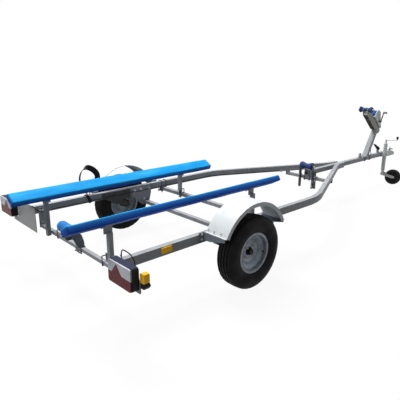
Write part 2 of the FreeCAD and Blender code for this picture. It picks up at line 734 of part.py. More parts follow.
def rear_keel_bracket():
    """Web clamped behind the rear tube, two arms up from it, and the pin between them."""
    inner = REAR_ROLLER_HALF + KEEL_ARM_GAP
    outer = inner + KEEL_ARM
    back = REAR_TUBE_X - REAR_TUBE_WIDTH / 2
    low = REAR_TUBE_Z - KEEL_WEB_HANG
    shoulder = REAR_TUBE_Z + REAR_TUBE_HEIGHT + KEEL_SHOULDER
    yoke = shoulder + KEEL_YOKE
    top = REAR_ROLLER_Z
    web = [
        (-KEEL_WEB_HALF, low),
        (KEEL_WEB_HALF, low),
        (KEEL_WEB_HALF, shoulder),
        (outer, shoulder),
        (outer, yoke),
        (-outer, yoke),
        (-outer, shoulder),
        (-KEEL_WEB_HALF, shoulder),
    ]
    arm = [
        (back, shoulder),
        (back, yoke),
        (back - 15, top - 35),
        (REAR_ROLLER_X + 22, top + 8),
        (REAR_ROLLER_X + 10, top + 24),
        (REAR_ROLLER_X - 10, top + 24),
        (REAR_ROLLER_X - 24, top + 4),
        (back - 62, yoke),
        (back - 42, shoulder),
    ]
    bracket = end_prism(web, back - KEEL_ARM, back)
    for side in pair(side_prism(arm, inner, outer)):
        bracket = bracket.fuse(side)
    pin = bar_y(REAR_ROLLER_X, REAR_ROLLER_Z, -outer - 8, outer + 8, PIN_RADIUS)
    return bracket.fuse(pin).removeSplitter()


def mid_keel_bracket():
    """Two slotted angle arms behind the mid tube, and the pin between them."""
    inner = MID_ROLLER_HALF + KEEL_ARM_GAP
    face = MID_TUBE_X - TUBE_WIDTH / 2
    low = 232
    high = MID_ROLLER_Z + 28
    bracket = bar_y(MID_ROLLER_X, MID_ROLLER_Z, -inner - 12, inner + 12, PIN_RADIUS)
    web = box(face - 40, face, inner, inner + 4, low, high)
    for z0, z1 in KEEL_SLOTS:
        web = web.cut(box(face - 27, face - 17, inner - 1, inner + 5, z0, z1))
    flange = box(face - 4, face, inner, inner + 34, low, high - 80)
    for arm in pair(web.fuse(flange)):
        bracket = bracket.fuse(arm)
    return bracket.removeSplitter()


def bow_roller():
    """Narrow waist between the ears and a flared cup outside each, all on one pin."""
    bore = PIN_RADIUS + PIN_FIT
    full = BOW_ROLLER_HALF
    waist = spun_y(
        [
            (bore, -BOW_WAIST_HALF),
            (BOW_WAIST_RADIUS, -BOW_WAIST_HALF),
            (BOW_WAIST_RADIUS, BOW_WAIST_HALF),
            (bore, BOW_WAIST_HALF),
        ],
        BOW_ROLLER_X,
        0,
        BOW_ROLLER_Z,
    )
    cup = spun_y(
        [
            (bore, BOW_CUP_START),
            (BOW_WAIST_RADIUS - 1, BOW_CUP_START),
            (33, full - 22),
            (36, full - 14),
            (34, full),
            (bore, full),
        ],
        BOW_ROLLER_X,
        0,
        BOW_ROLLER_Z,
    )
    return [waist] + pair(cup)


def winch_post():
    """Base plate on the drawbar and the post that leans forward from it."""
    half = POST_WIDTH / 2
    start = WINCH_BASE_X + 35
    base = box(WINCH_BASE_X, WINCH_BASE_X + WINCH_BASE_LENGTH, -44, 44, DRAWBAR_TOP, WINCH_BASE_TOP)
    leaning = [
        (start, WINCH_BASE_TOP),
        (start + POST_LENGTH, WINCH_BASE_TOP),
        (POST_TOP_X, POST_TOP_Z),
        (POST_TOP_X - POST_LENGTH, POST_TOP_Z),
    ]
    return base.fuse(side_prism(leaning, -half, half)).removeSplitter()


def winch_line(along, out):
    """Place beside the arm's front face: a distance up it and a distance off it, as (x, z)."""
    foot = V(ARM_FOOT_X, 0, POST_TOP_Z)
    run = (V(ARM_HEAD_X, 0, ARM_HEAD_Z) - foot).normalize()
    place = foot + run * along + V(run.z, 0, -run.x) * out
    return place.x, place.z


def winch_arm():
    """Arm that leans back over the post, two cheeks down the post, and ears for the bow roller."""
    half = POST_WIDTH / 2
    x = BOW_ROLLER_X
    z = BOW_ROLLER_Z
    foot = [(ARM_FOOT_X - ARM_FOOT_LENGTH, POST_TOP_Z), (ARM_FOOT_X, POST_TOP_Z)]
    head = [(ARM_HEAD_X, ARM_HEAD_Z), (x + 44, z - 32), (x - 4, z - 36), (x - 10, z - 68)]
    shape = side_prism(foot + head, -half, half)
    ear = [
        (x - 10, z - 66),
        (x + 60, z - 36),
        (x + 30, z - 4),
        (x + 12, z + 14),
        (x - 12, z + 14),
        (x - 22, z),
        (x - 22, z - 20),
    ]
    for side in pair(side_prism(ear, EAR_OUTER - EAR_SHEET, EAR_OUTER)):
        shape = shape.fuse(side)
    cheek = [
        (POST_TOP_X - 50, POST_TOP_Z + 20),
        (ARM_FOOT_X - 26, POST_TOP_Z + 20),
        (ARM_FOOT_X, POST_TOP_Z - 25),
        (POST_TOP_X, POST_TOP_Z - 55),
        (POST_TOP_X - 75, POST_TOP_Z - 55),
    ]
    for side in pair(side_prism(cheek, half, half + EAR_SHEET)):
        shape = shape.fuse(side)
    reach = BOW_ROLLER_HALF + 10
    return shape.fuse(bar_y(x, z, -reach, reach, PIN_RADIUS)).removeSplitter()


def winch_frame():
    """Folded cradle: two side plates and the base that bolts to the arm."""
    half = WINCH_PLATE_HALF
    head = DRUM_ALONG + 67
    plate = [
        (14, 0),
        (head, 0),
        (head, 16),
        (DRUM_ALONG + 62, DRUM_OUT + 25),
        (DRUM_ALONG + 29, DRUM_OUT + 46),
        (DRUM_ALONG - 20, DRUM_OUT + 50),
        (CRANK_ALONG + 28, CRANK_OUT + 68),
        (CRANK_ALONG - 16, CRANK_OUT + 32),
        (14, 24),
    ]
    outline = [winch_line(*row) for row in plate]
    floor = [winch_line(*row) for row in ((14, 0), (head, 0), (head, WINCH_SHEET), (14, WINCH_SHEET))]
    shape = side_prism(floor, -half, half)
    for side in pair(side_prism(outline, half - WINCH_SHEET, half)):
        shape = shape.fuse(side)
    for along, out in ((DRUM_ALONG, DRUM_OUT), (CRANK_ALONG, CRANK_OUT)):
        x, z = winch_line(along, out)
        shape = shape.cut(bar_y(x, z, -half - 1, half + 1, PIN_RADIUS + PIN_FIT))
    return shape.removeSplitter()


def winch_drum():
    """Drum, its flanges, its shaft and the large gear outside the left plate."""
    x, z = winch_line(DRUM_ALONG, DRUM_OUT)
    gear_y = WINCH_PLATE_HALF + 6
    shape = bar_y(x, z, -WINCH_PLATE_HALF - 6, gear_y + 14, PIN_RADIUS)
    shape = shape.fuse(bar_y(x, z, -DRUM_HALF, DRUM_HALF, DRUM_CORE))
    for y in (-DRUM_HALF, DRUM_HALF - 3):
        shape = shape.fuse(bar_y(x, z, y, y + 3, DRUM_FLANGE))
    return shape.fuse(bar_y(x, z, gear_y, gear_y + GEAR_THICK, GEAR_RADIUS)).removeSplitter()


def winch_strap():
    """Webbing wound on the drum."""
    x, z = winch_line(DRUM_ALONG, DRUM_OUT)
    half = DRUM_HALF - 3
    roll = bar_y(x, z, -half, half, STRAP_RADIUS)
    return roll.cut(bar_y(x, z, -half, half, DRUM_CORE))


def winch_crank():
    """Shaft with its pinion, the crank arm on the right side and the grip."""
    x, z = winch_line(CRANK_ALONG, CRANK_OUT)
    gear_y = WINCH_PLATE_HALF + 6
    arm_y = -WINCH_PLATE_HALF - 22
    shape = bar_y(x, z, arm_y, gear_y + 12, PIN_RADIUS)
    shape = shape.fuse(bar_y(x, z, gear_y, gear_y + GEAR_THICK, PINION_RADIUS))
    shape = shape.fuse(bar_y(x, z, arm_y - 3, arm_y + 9, 14))
    along = V(math.cos(CRANK_ANGLE), 0, math.sin(CRANK_ANGLE))
    across = V(along.z, 0, -along.x) * 10
    shaft = V(x, arm_y, z)
    tip = shaft + along * CRANK_REACH
    end = tip + along * 9
    corners = [shaft + across, end + across, end - across, shaft - across]
    shape = shape.fuse(Part.Face(Part.makePolygon(corners + corners[:1])).extrude(V(0, 6, 0)))
    return shape.fuse(bar_y(tip.x, tip.z, arm_y - CRANK_GRIP, arm_y, 11)).removeSplitter()


def coupling_body():
    """Pressed head: a channel over the drawbar that narrows to the ball socket."""
    half = DRAWBAR_SIDE / 2
    outer = half + HEAD_WALL
    rear = DRAWBAR_FRONT_X - 34
    high = DRAWBAR_TOP + HEAD_WALL
    nose = BALL_X - 8
    back = BALL_X - HEAD_RADIUS
    side = [
        (DRAWBAR_FRONT_X, HEAD_LOW),
        (DRAWBAR_FRONT_X, high),
        (LEVER_X + 10, high),
        (nose, BALL_Z + 24),
        (nose, HEAD_LOW),
    ]
    head = side_prism(side, -outer, outer)
    head = head.fuse(Part.makeSphere(HEAD_RADIUS, V(BALL_X, 0, BALL_Z)))
    head = head.fuse(bar_y(LEVER_X, LEVER_Z, -LEVER_HALF, LEVER_HALF, LEVER_RADIUS))
    reach = 2 * HEAD_RADIUS
    below = box(BALL_X - reach, BALL_X + reach, -reach, reach, BALL_Z - reach, HEAD_LOW)
    head = head.cut(below)
    inner_side = [
        (DRAWBAR_FRONT_X, HEAD_LOW - 1),
        (DRAWBAR_FRONT_X, DRAWBAR_TOP),
        (LEVER_X + 6, DRAWBAR_TOP),
        (back, BALL_Z + 22),
        (back, HEAD_LOW - 1),
    ]
    head = head.cut(side_prism(inner_side, -half, half))
    head = head.cut(bar_y(LEVER_X, LEVER_Z, -outer, outer, LEVER_PIN + PIN_FIT))
    socket = BALL_RADIUS + SOCKET_FIT
    head = head.cut(Part.makeSphere(socket, V(BALL_X, 0, BALL_Z)))
    head = head.cut(Part.makeCylinder(socket, reach, V(BALL_X, 0, BALL_Z), V(0, 0, -1)))
    collar = box(rear, DRAWBAR_FRONT_X, -outer, outer, DRAWBAR_BOTTOM, high)
    collar = collar.cut(box(rear, DRAWBAR_FRONT_X, -half, half, DRAWBAR_BOTTOM, DRAWBAR_TOP))
    return collar.fuse(head).removeSplitter()


def coupling_lever():
    """Handle ahead of the round housing, on two cheeks pinned through it."""
    inner = LEVER_HALF + LEVER_GAP
    outer = inner + LEVER_SHEET
    reach = LEVER_RADIUS + LEVER_CLEARANCE
    upper = [(reach, 14), (reach + 28, 9), (reach + 59, -4)]
    lower = [(reach + 59, -10), (reach + 46, -10), (reach, -4)]
    shape = side_prism([(LEVER_X + x, LEVER_Z + z) for x, z in upper + lower], -outer, outer, 2)
    cheek = [(0, 7), (reach + 4, 13), (reach + 4, -4), (0, -7)]
    plate = side_prism([(LEVER_X + x, LEVER_Z + z) for x, z in cheek], inner, outer)
    for side in pair(plate.fuse(bar_y(LEVER_X, LEVER_Z, inner, outer, LEVER_BOSS))):
        shape = shape.fuse(side)
    return shape.fuse(bar_y(LEVER_X, LEVER_Z, -outer, outer, LEVER_PIN)).removeSplitter()


def jockey_clamp():
    """Split collar round the jockey tube, on a bracket beside the drawbar."""
    half = DRAWBAR_SIDE / 2
    low = DRAWBAR_BOTTOM - 4
    high = DRAWBAR_TOP + 14
    x = JOCKEY_X
    outer = JOCKEY_TUBE_RADIUS + JOCKEY_COLLAR
    plate = box(x - 44, x + 44, -half - PLATE, -half, low, high)
    block = box(x - 26, x + 26, JOCKEY_Y, -half, low + 6, high - 6)
    shape = plate.fuse(block).fuse(bar_z(x, JOCKEY_Y, low + 6, high - 6, outer))
    lug = box(x + 18, x + 52, JOCKEY_Y - 12, JOCKEY_Y + 4, low + 14, high - 14)
    shape = shape.fuse(lug).cut(bar_z(x, JOCKEY_Y, low - 10, high + 10, JOCKEY_TUBE_RADIUS))
    screw = Part.makeCylinder(6, 26, V(x + 50, JOCKEY_Y - 4, (low + high) / 2), V(1, 0, 0))
    return shape.fuse(screw).removeSplitter()


def jockey_tube():
    """Outer tube of the jockey leg, capped at the top round the screw spindle."""
    bore = JOCKEY_LEG_RADIUS + JOCKEY_SLIDE_FIT
    tube = bar_z(JOCKEY_X, JOCKEY_Y, JOCKEY_TUBE_BOTTOM, JOCKEY_TUBE_TOP, JOCKEY_TUBE_RADIUS)
    tube = tube.cut(bar_z(JOCKEY_X, JOCKEY_Y, JOCKEY_TUBE_BOTTOM, JOCKEY_TUBE_TOP - 8, bore))
    return tube.cut(bar_z(JOCKEY_X, JOCKEY_Y, JOCKEY_TUBE_TOP - 10, JOCKEY_TUBE_TOP, PIN_RADIUS + PIN_FIT))


def jockey_leg():
    """Inner tube that the screw drives in and out; its lower end carries the fork pin."""
    low = JOCKEY_LEG_BOTTOM
    high = JOCKEY_TUBE_TOP - 57
    leg = bar_z(JOCKEY_X, JOCKEY_Y, low, high, JOCKEY_LEG_RADIUS)
    leg = leg.cut(bar_z(JOCKEY_X, JOCKEY_Y, low + 28, high, 15))
    return leg.cut(bar_z(JOCKEY_X, JOCKEY_Y, low, low + 20, 9 + PIN_FIT))


def jockey_fork():
    """Swivel pin, crown plate and two trailing legs down to the wheel pin."""
    leg_in = JOCKEY_WHEEL_HALF + 6
    top = JOCKEY_LEG_BOTTOM - 0.3
    hub = JOCKEY_WHEEL_RADIUS
    leg = [
        (-24, top),
        (22, top),
        (JOCKEY_TRAIL + 16, hub + 12),
        (JOCKEY_TRAIL + 16, hub - 12),
        (JOCKEY_TRAIL - 14, hub - 14),
        (-24, top - 26),
    ]
    shape = bar_z(0, 0, top - 14, top + 18, 9)
    shape = shape.fuse(box(-24, 12, -leg_in - 5, leg_in + 5, top - 6, top))
    for side in pair(side_prism(leg, leg_in, leg_in + 5)):
        shape = shape.fuse(side)
    shape = shape.fuse(bar_y(JOCKEY_TRAIL, hub, -leg_in - 9, leg_in + 9, PIN_RADIUS))
    shape = shape.removeSplitter()
    shape.rotate(V(0, 0, 0), V(0, 0, 1), math.degrees(JOCKEY_HEADING))
    shape.translate(V(JOCKEY_X, JOCKEY_Y, 0))
    return shape


def jockey_wheel():
    half = JOCKEY_WHEEL_HALF
    full = JOCKEY_WHEEL_RADIUS
    profile = [
        (PIN_RADIUS + PIN_FIT, -half - 3),
        (20, -half - 3),
        (22, -12),
        (62, -12),
        (64, -half + 2),
        (78, -half),
        (94, -half + 5),
        (full, -half + 14),
    ]
    ring = profile + [(radius, -offset) for radius, offset in reversed(profile)]
    wheel = spun_y(ring, 0, 0, full)
    wheel.rotate(V(0, 0, 0), V(0, 0, 1), math.degrees(JOCKEY_HEADING))
    ahead = V(math.cos(JOCKEY_HEADING), math.sin(JOCKEY_HEADING), 0)
    wheel.translate(V(JOCKEY_X, JOCKEY_Y, 0) + ahead * JOCKEY_TRAIL)
    return wheel


def jockey_crank():
    """Screw spindle, the flat crank arm on top of the tube and its knob."""
    shape = bar_z(0, 0, JOCKEY_TUBE_TOP - 40, JOCKEY_ARM_Z, PIN_RADIUS)
    shape = shape.fuse(bar_z(0, 0, JOCKEY_TUBE_TOP + 1, JOCKEY_ARM_Z + 12, 11))
    shape = shape.fuse(box(-9, JOCKEY_ARM_REACH + 9, -9, 9, JOCKEY_ARM_Z, JOCKEY_ARM_Z + 6))
    shape = shape.fuse(bar_z(JOCKEY_ARM_REACH, 0, JOCKEY_ARM_Z, JOCKEY_ARM_Z + 46, 12)).removeSplitter()
    shape.rotate(V(0, 0, 0), V(0, 0, 1), JOCKEY_ARM_HEADING)
    shape.translate(V(JOCKEY_X, JOCKEY_Y, 0))
    return shape


def plug():
    """Seven-pin trailer plug, parked in its holder on the drawbar."""
    along = (PLUG_NOSE - PLUG_TAIL).normalize()
    length = (PLUG_NOSE - PLUG_TAIL).Length
    boot = Part.makeCone(8, 15, 38, PLUG_TAIL, along)
    body = Part.makeCylinder(15, 60, PLUG_TAIL + along * 38, along)
    ring = Part.makeCylinder(PLUG_RING, length - 98, PLUG_TAIL + along * 98, along)
    return boot.fuse(body).fuse(ring).removeSplitter()


def plug_lead():
    """Lead from the plug's boot over in a loop, down to the grommet on the drawbar."""
    end = GROMMET_X
    points = [
        PLUG_TAIL,
        PLUG_TAIL + V(-21, 0, 11.67),
        V(end + 17, 4, 552),
        V(end + 3, 8, 520),
        V(end + 1, 10, 480),
        V(end, 6, 452),
        V(end, 0, GROMMET_TOP + 1.5),
    ]
    return cord(points, CABLE_RADIUS)


def harness_points():
    """Left lamp cable: looped up off the lamp plate, over the rail, then along its inner face."""
    points = [
        V(RAIL_REAR_X + 3, 836, 430),
        V(-958, 838, 446),
        V(-938, 824, 474),
        V(-930, 772, 499),
        V(-930, 722, 504),
        V(-930, 690, 502),
        V(-929, 676, 484),
        V(-925, 668, 458),
        V(-914, 652, 444),
        V(-900, 622, 441),
        V(-890, 602, 425),
        V(-870, 592, 402),
        V(-830, 596, 386),
        V(-780, 610, 384),
        V(-720, CABLE_Y, 390),
        V(-640, CABLE_Y, 386),
    ]
    x = -550.0
    sag = 0
    while x < BEND_REAR_X - 60:
        points.append(V(x, CABLE_Y, (391, 382)[sag % 2]))
        sag += 1
        x += 95
    slope = math.tan(BEND_ANGLE)
    start_x = BEND_REAR_X - 12
    while x < DRAWBAR_REAR_X - 65:
        y = CABLE_Y - max(0.0, x - start_x) * slope
        points.append(V(x, y, (390, 380)[sag % 2]))
        sag += 1
        x += 90
    return points


def lamp_cable(side):
    points = [V(p.x, side * p.y, p.z) for p in harness_points()]
    return cord(points, CABLE_RADIUS)


def tie_strap():
    """Webbing tie-down: a band round the left rail with a standing loop."""
    gap = 0.4
    sheet = 3.0
    in_y = RAIL_INNER - gap
    out_y = RAIL_OUTER + gap
    low = RAIL_BOTTOM - gap
    high = RAIL_TOP + gap
    band = box(-432, -372, in_y - sheet, out_y + sheet, low - sheet, high + sheet)
    band = band.cut(box(-432, -372, in_y, out_y, low, high))
    loop = rounded_face(
        [V(-455, 646, high), V(-470, 646, 640), V(-400, 646, 690), V(-290, 646, 668), V(-270, 646, 590),
         V(-352, 646, high)],
        [6, 50, 50, 40, 40, 6],
    ).extrude(V(0, 22, 0))
    hole = rounded_face(
        [V(-446, 645, 450), V(-460, 645, 632), V(-400, 645, 676), V(-310, 645, 650), V(-300, 645, 596),
         V(-368, 645, 450)],
        [6, 44, 44, 30, 30, 6],
    ).extrude(V(0, 24, 0))
    return band.fuse(loop.cut(hole)).removeSplitter()


def fittings():
    """Hook eye, plug holder and cable grommets."""
    crown = [(EYE_X + 26, EYE_Z + 18), (EYE_X, EYE_Z + 26), (EYE_X - 24, EYE_Z + 18)]
    foot = [(EYE_X - 32, DRAWBAR_TOP), (EYE_X + 34, DRAWBAR_TOP)]
    eye = side_prism(foot + crown, -4, 4, 3)
    eye = eye.cut(bar_y(EYE_X, EYE_Z, -5, 5, 12))
    along = (PLUG_NOSE - PLUG_TAIL).normalize()
    drop = PLUG_RING / along.x
    slope = along.z / along.x
    tops = [PLUG_TAIL.z + (x - PLUG_TAIL.x) * slope - drop for x in (HOLDER_X, HOLDER_X + 20)]
    far = HOLDER_X + 20
    block = [(HOLDER_X, DRAWBAR_TOP), (far, DRAWBAR_TOP), (far, tops[1]), (HOLDER_X, tops[0])]
    holder = side_prism(block, -14, 14)
    grommet = bar_z(GROMMET_X, 0, DRAWBAR_TOP, GROMMET_TOP, 9)
    before, last = harness_points()[-2:]
    clip = Part.makeCylinder(8, 22, last, (last - before).normalize())
    return [eye, holder, grommet] + pair(clip)


def build():
    nodes = {
        "rails": pair(rail()),
        "drawbar": [drawbar()],
        "cross_tubes": [cross_tube(*row) for row in TUBES],
        "tube_hangers": pair(rear_hanger()) + pair(axle_hanger()) + mid_packing(),
        "suspension_units": pair(suspension_unit()),
        "suspension_arms": pair(suspension_arm()),
        "bunk_posts": [],
        "bunk_cradles": [],
        "bunks": pair(bunk()),
        "clamp_bolts": post_clamps() + rail_clamps() + keel_clamps() + winch_clamps(),
        "mudguards": pair(mudguard()),
        "mudguard_arms": pair(mudguard_arm(-1)) + pair(mudguard_arm(1)),
        "lamp_plates": pair(lamp_plate()) + [number_plate()],
        "lamp_bodies": pair(lamp_body()) + pair(marker_arm()),
        "lamp_lenses": pair(lamp_lens()) + pair(marker_lens()) + pair(side_reflector()),
        "keel_brackets": [rear_keel_bracket(), mid_keel_bracket()],
        "winch_post": [winch_post()],
        "winch_arm": [winch_arm()],
        "winch_frame": [winch_frame()],
        "winch_drum": [winch_drum()],
        "winch_strap": [winch_strap()],
        "winch_crank": [winch_crank()],
        "coupling_body": [coupling_body()],
        "coupling_lever": [coupling_lever()],
        "jockey_clamp": [jockey_clamp()],
        "jockey_tube": [jockey_tube()],
        "jockey_leg": [jockey_leg()],
        "jockey_fork": [jockey_fork()],
        "jockey_wheel": [jockey_wheel()],
        "jockey_crank": [jockey_crank()],
        "plug": [plug()],
        "plug_lead": [plug_lead()],
        "lamp_cable_left": [lamp_cable(1)],
        "lamp_cable_right": [lamp_cable(-1)],
        "tie_strap": [tie_strap()],
        "fittings": fittings(),
    }
    for x, low, high in POSTS:
        nodes["bunk_posts"] += pair(bunk_post(x, low, high))
        nodes["bunk_cradles"] += pair(bunk_cradle(x))
    for name, side in (("left", 1), ("right", -1)):
        nodes["tyre_" + name] = [tyre(side)]
        nodes["rim_" + name] = [wheel_rim(side)]
        nodes["hub_" + name] = [hub() if side == 1 else mirrored(hub())]
    bore = PIN_RADIUS + PIN_FIT
    barrel = [(34, REAR_ROLLER_HALF), (39, 60), (36, 0)]
    nodes["keel_roller_rear"] = [roller(REAR_ROLLER_X, REAR_ROLLER_Z, REAR_ROLLER_HALF, bore, barrel)]
    waisted = [(40, MID_ROLLER_HALF), (40, 54), (27, 16), (27, 0)]
    nodes["keel_roller_mid"] = [roller(MID_ROLLER_X, MID_ROLLER_Z, MID_ROLLER_HALF, bore, waisted)]
    nodes["bow_roller"] = bow_roller()
    return nodes


os.makedirs("parts", exist_ok=True)
for node, solids in build().items():
    for solid in solids:
        if not solid.isValid() or solid.Volume <= 0 or len(solid.Solids) != 1:
            raise ValueError("%s has a bad solid of volume %s" % (node, solid.Volume))
    shape = solids[0] if len(solids) == 1 else Part.makeCompound(solids)
    shape.exportStep("parts/" + node + ".step")
    reach = shape.BoundBox
    print(node, len(solids), "%.0f by %.0f by %.0f mm" % (reach.XLength, reach.YLength, reach.ZLength))
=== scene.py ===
"""Boat trailer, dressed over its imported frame. Metres: +X to the hitch, +Y to the left, +Z up."""
import math

import bmesh
import bpy
from mathutils import Matrix, Vector, noise


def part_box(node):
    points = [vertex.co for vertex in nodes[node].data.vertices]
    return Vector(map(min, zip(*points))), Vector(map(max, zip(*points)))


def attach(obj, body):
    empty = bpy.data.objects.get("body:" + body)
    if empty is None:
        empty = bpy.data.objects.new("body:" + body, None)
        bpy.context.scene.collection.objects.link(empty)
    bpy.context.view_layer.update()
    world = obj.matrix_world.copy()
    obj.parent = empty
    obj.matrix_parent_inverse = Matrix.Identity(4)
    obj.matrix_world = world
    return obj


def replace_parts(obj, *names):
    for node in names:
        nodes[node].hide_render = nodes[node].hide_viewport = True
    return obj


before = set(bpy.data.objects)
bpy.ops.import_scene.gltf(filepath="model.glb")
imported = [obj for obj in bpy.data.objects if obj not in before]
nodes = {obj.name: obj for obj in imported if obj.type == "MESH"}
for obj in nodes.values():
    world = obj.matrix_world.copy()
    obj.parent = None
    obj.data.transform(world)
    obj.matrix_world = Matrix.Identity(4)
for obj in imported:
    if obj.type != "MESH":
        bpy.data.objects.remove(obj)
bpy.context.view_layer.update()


# ---- Chassis: both bent rails, the drawbar and the cross tubes.
# Hot-dipped box section, so it is dull grey with faint crystals, cloudy patches and paler drips.
# The rails are welded and clamped to the tubes; their nodes keep the shapes of the solids.
def dye(red, green, blue):
    """A colour from its screen values, 0 to 255, as the linear values a shader takes."""
    values = [v / 255 for v in (red, green, blue)]
    return tuple(v / 12.92 if v <= 0.04045 else ((v + 0.055) / 1.055) ** 2.4 for v in values) + (1.0,)


class Tone:
    """A shader socket that adds, subtracts and multiplies like a number."""

    def __init__(self, tree, socket):
        self.tree = tree
        self.socket = socket

    def math(self, operation, other=0.0, clamp=False, swapped=False):
        """One math node on this tone and another value; swapped puts the other one first."""
        settings = [("operation", operation), ("use_clamp", clamp)]
        first, second = (other, self) if swapped else (self, other)
        return add_node(self.tree, "ShaderNodeMath", 0, settings, [(0, first), (1, second)])

    def __add__(self, other):
        return self.math("ADD", other)

    def __radd__(self, other):
        return self.math("ADD", other, swapped=True)

    def __sub__(self, other):
        return self.math("SUBTRACT", other)

    def __rsub__(self, other):
        return self.math("SUBTRACT", other, swapped=True)

    def __mul__(self, other):
        return self.math("MULTIPLY", other)

    def __rmul__(self, other):
        return self.math("MULTIPLY", other, swapped=True)

    def absolute(self):
        return self.math("ABSOLUTE")

    def over(self, low, high):
        """0 below low, 1 above high, straight between them."""
        return (self - low).math("MULTIPLY", 1.0 / (high - low), clamp=True)


def join(tree, value, place):
    """Puts a value, or a link from a Tone, into a socket."""
    if isinstance(value, Tone):
        tree.links.new(value.socket, place)
    else:
        place.default_value = value


def add_node(tree, kind, output, settings=(), links=()):
    """Any shader node: settings first, then its sockets, then the output that is asked for."""
    node = tree.nodes.new(kind)
    for name, value in settings:
        setattr(node, name, value)
    for name, value in links:
        join(tree, value, node.inputs[name])
    return Tone(tree, node.outputs[output])


class Finish:
    """One material: constants on its shader's own sockets, maps through node()."""

    def __init__(self, name, colour, rough, metal=0.0, coat=0.0, sheen=0.0, coat_rough=0.1, shine=0.1):
        self.material = bpy.data.materials.new(name)
        self.material.use_nodes = True
        self.tree = self.material.node_tree
        self.shader = self.tree.nodes["Principled BSDF"]
        self.set("Base Color", colour)
        self.set("Roughness", rough)
        self.set("Metallic", metal)
        self.set("Coat Weight", coat)
        self.set("Coat Roughness", coat_rough)
        self.set("Sheen Weight", sheen)
        self.set("Specular IOR Level", shine)
        self.where = self.node("ShaderNodeTexCoord", "Object")

    def set(self, place, value):
        join(self.tree, value, self.shader.inputs[place])

    def node(self, kind, output, settings=(), links=()):
        return add_node(self.tree, kind, output, settings, links)

    def axes(self):
        """The three object coordinates, each as a Tone."""
        return [self.node("ShaderNodeSeparateXYZ", axis, links=[("Vector", self.where)]) for axis in "XYZ"]

    def noise(self, scale, detail=3.0, where=None):
        links = [("Vector", where or self.where), ("Scale", scale), ("Detail", detail)]
        return self.node("ShaderNodeTexNoise", "Fac", links=links)

    def squeezed(self, x, y, z):
        """Object coordinates scaled by axis."""
        return self.node("ShaderNodeMapping", "Vector", links=[("Vector", self.where), ("Scale", (x, y, z))])

    def blend(self, amount, first, second):
        """Mix of two colours by a mask; 6, 7 and 2 are the colour sockets of the node."""
        links = [("Factor", amount), (6, first), (7, second)]
        return self.node("ShaderNodeMix", 2, [("data_type", "RGBA")], links)

    def height(self, *layers):
        """Bump from (tone, depth in metres) layers, one over the other."""
        normal = None
        for tone, depth in layers:
            links = [("Height", tone), ("Distance", depth), ("Strength", 1.0)]
            if normal is not None:
                links.append(("Normal", normal))
            normal = self.node("ShaderNodeBump", "Normal", links=links)
        self.set("Normal", normal)

    def on(self, *names):
        """Gives the finish to solids that the scene shows as they are."""
        for name in names:
            nodes[name].data.materials.clear()
            nodes[name].data.materials.append(self.material)


def galvanised(name, pale, dark, streak):
    """Zinc coat: crystals some 12 mm across, cloudy patches and drip marks."""
    zinc = Finish(name, pale, 0.5, metal=0.04)
    cells = [("Vector", zinc.where), ("Scale", 75.0)]
    crystal = zinc.node("ShaderNodeTexVoronoi", "Color", links=cells)
    facet = zinc.node("ShaderNodeSeparateColor", 0, links=[("Color", crystal)])
    cloud = zinc.noise(5.0, 5.0).over(0.35, 0.68)
    drips = zinc.noise(9.0, 4.0, zinc.squeezed(3.0, 3.0, 0.6)).over(0.55, 0.75)
    base = zinc.blend(cloud * 0.75 + facet * 0.25, dark, pale)
    zinc.set("Base Color", zinc.blend(drips * 0.35, base, streak))
    zinc.set("Roughness", 0.42 + facet * 0.12 + cloud * 0.14)
    zinc.height((zinc.noise(160.0, 3.0), 0.00025), (zinc.noise(22.0, 2.0), 0.0006))
    return zinc


ZINC = galvanised("galvanised_tube", dye(178, 181, 184), dye(152, 155, 159), dye(196, 198, 200))
ZINC.on("rails", "drawbar", "cross_tubes", "bunk_posts", "tube_hangers")


# ---- Suspension: rubber units bolted to the rails, and the arms that carry the hubs.
# Galvanised like the chassis, and darker with the dirt that the wheels throw at them.
DIRTY_ZINC = galvanised("suspension_zinc", dye(108, 108, 107), dye(55, 54, 52), dye(142, 140, 135))
DIRTY_ZINC.on("suspension_units", "suspension_arms")


# ---- Tyres: road tyres on 10 inch rims, with four ribs and cross grooves.
# Black rubber, dusty in patches, with shallow rings and a bead line moulded in the sidewalls.
def add_object(name, data):
    """A new object in the scene."""
    made = bpy.data.objects.new(name, data)
    bpy.context.scene.collection.objects.link(made)
    return made


def piece(name, mesh, body, finish, smooth=40.0):
    """Turns a bmesh into an object that rides on a body; edges flatter than smooth degrees are soft."""
    data = bpy.data.meshes.new(name)
    bmesh.ops.remove_doubles(mesh, verts=mesh.verts, dist=0.00002)
    bmesh.ops.recalc_face_normals(mesh, faces=mesh.faces)
    for face in mesh.faces:
        face.smooth = True
    for edge in mesh.edges:
        if len(edge.link_faces) == 2:
            edge.smooth = edge.calc_face_angle(0.0) < math.radians(smooth)
    mesh.to_mesh(data)
    mesh.free()
    data.materials.append(finish.material)
    made = add_object(name, data)
    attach(made, body)
    return made


def lathe(profile, centre, steps):
    """Ring turned about a Y axis from (radius, offset) points."""
    mesh = bmesh.new()
    line = [mesh.verts.new((centre.x, centre.y + offset, centre.z + radius)) for radius, offset in profile]
    edges = [mesh.edges.new(ends) for ends in zip(line, line[1:] + line[:1])]
    bmesh.ops.spin(mesh, geom=line + edges, cent=centre, axis=(0, 1, 0), dvec=(0, 0, 0),
                   angle=math.tau, steps=steps, use_merge=True)
    return mesh


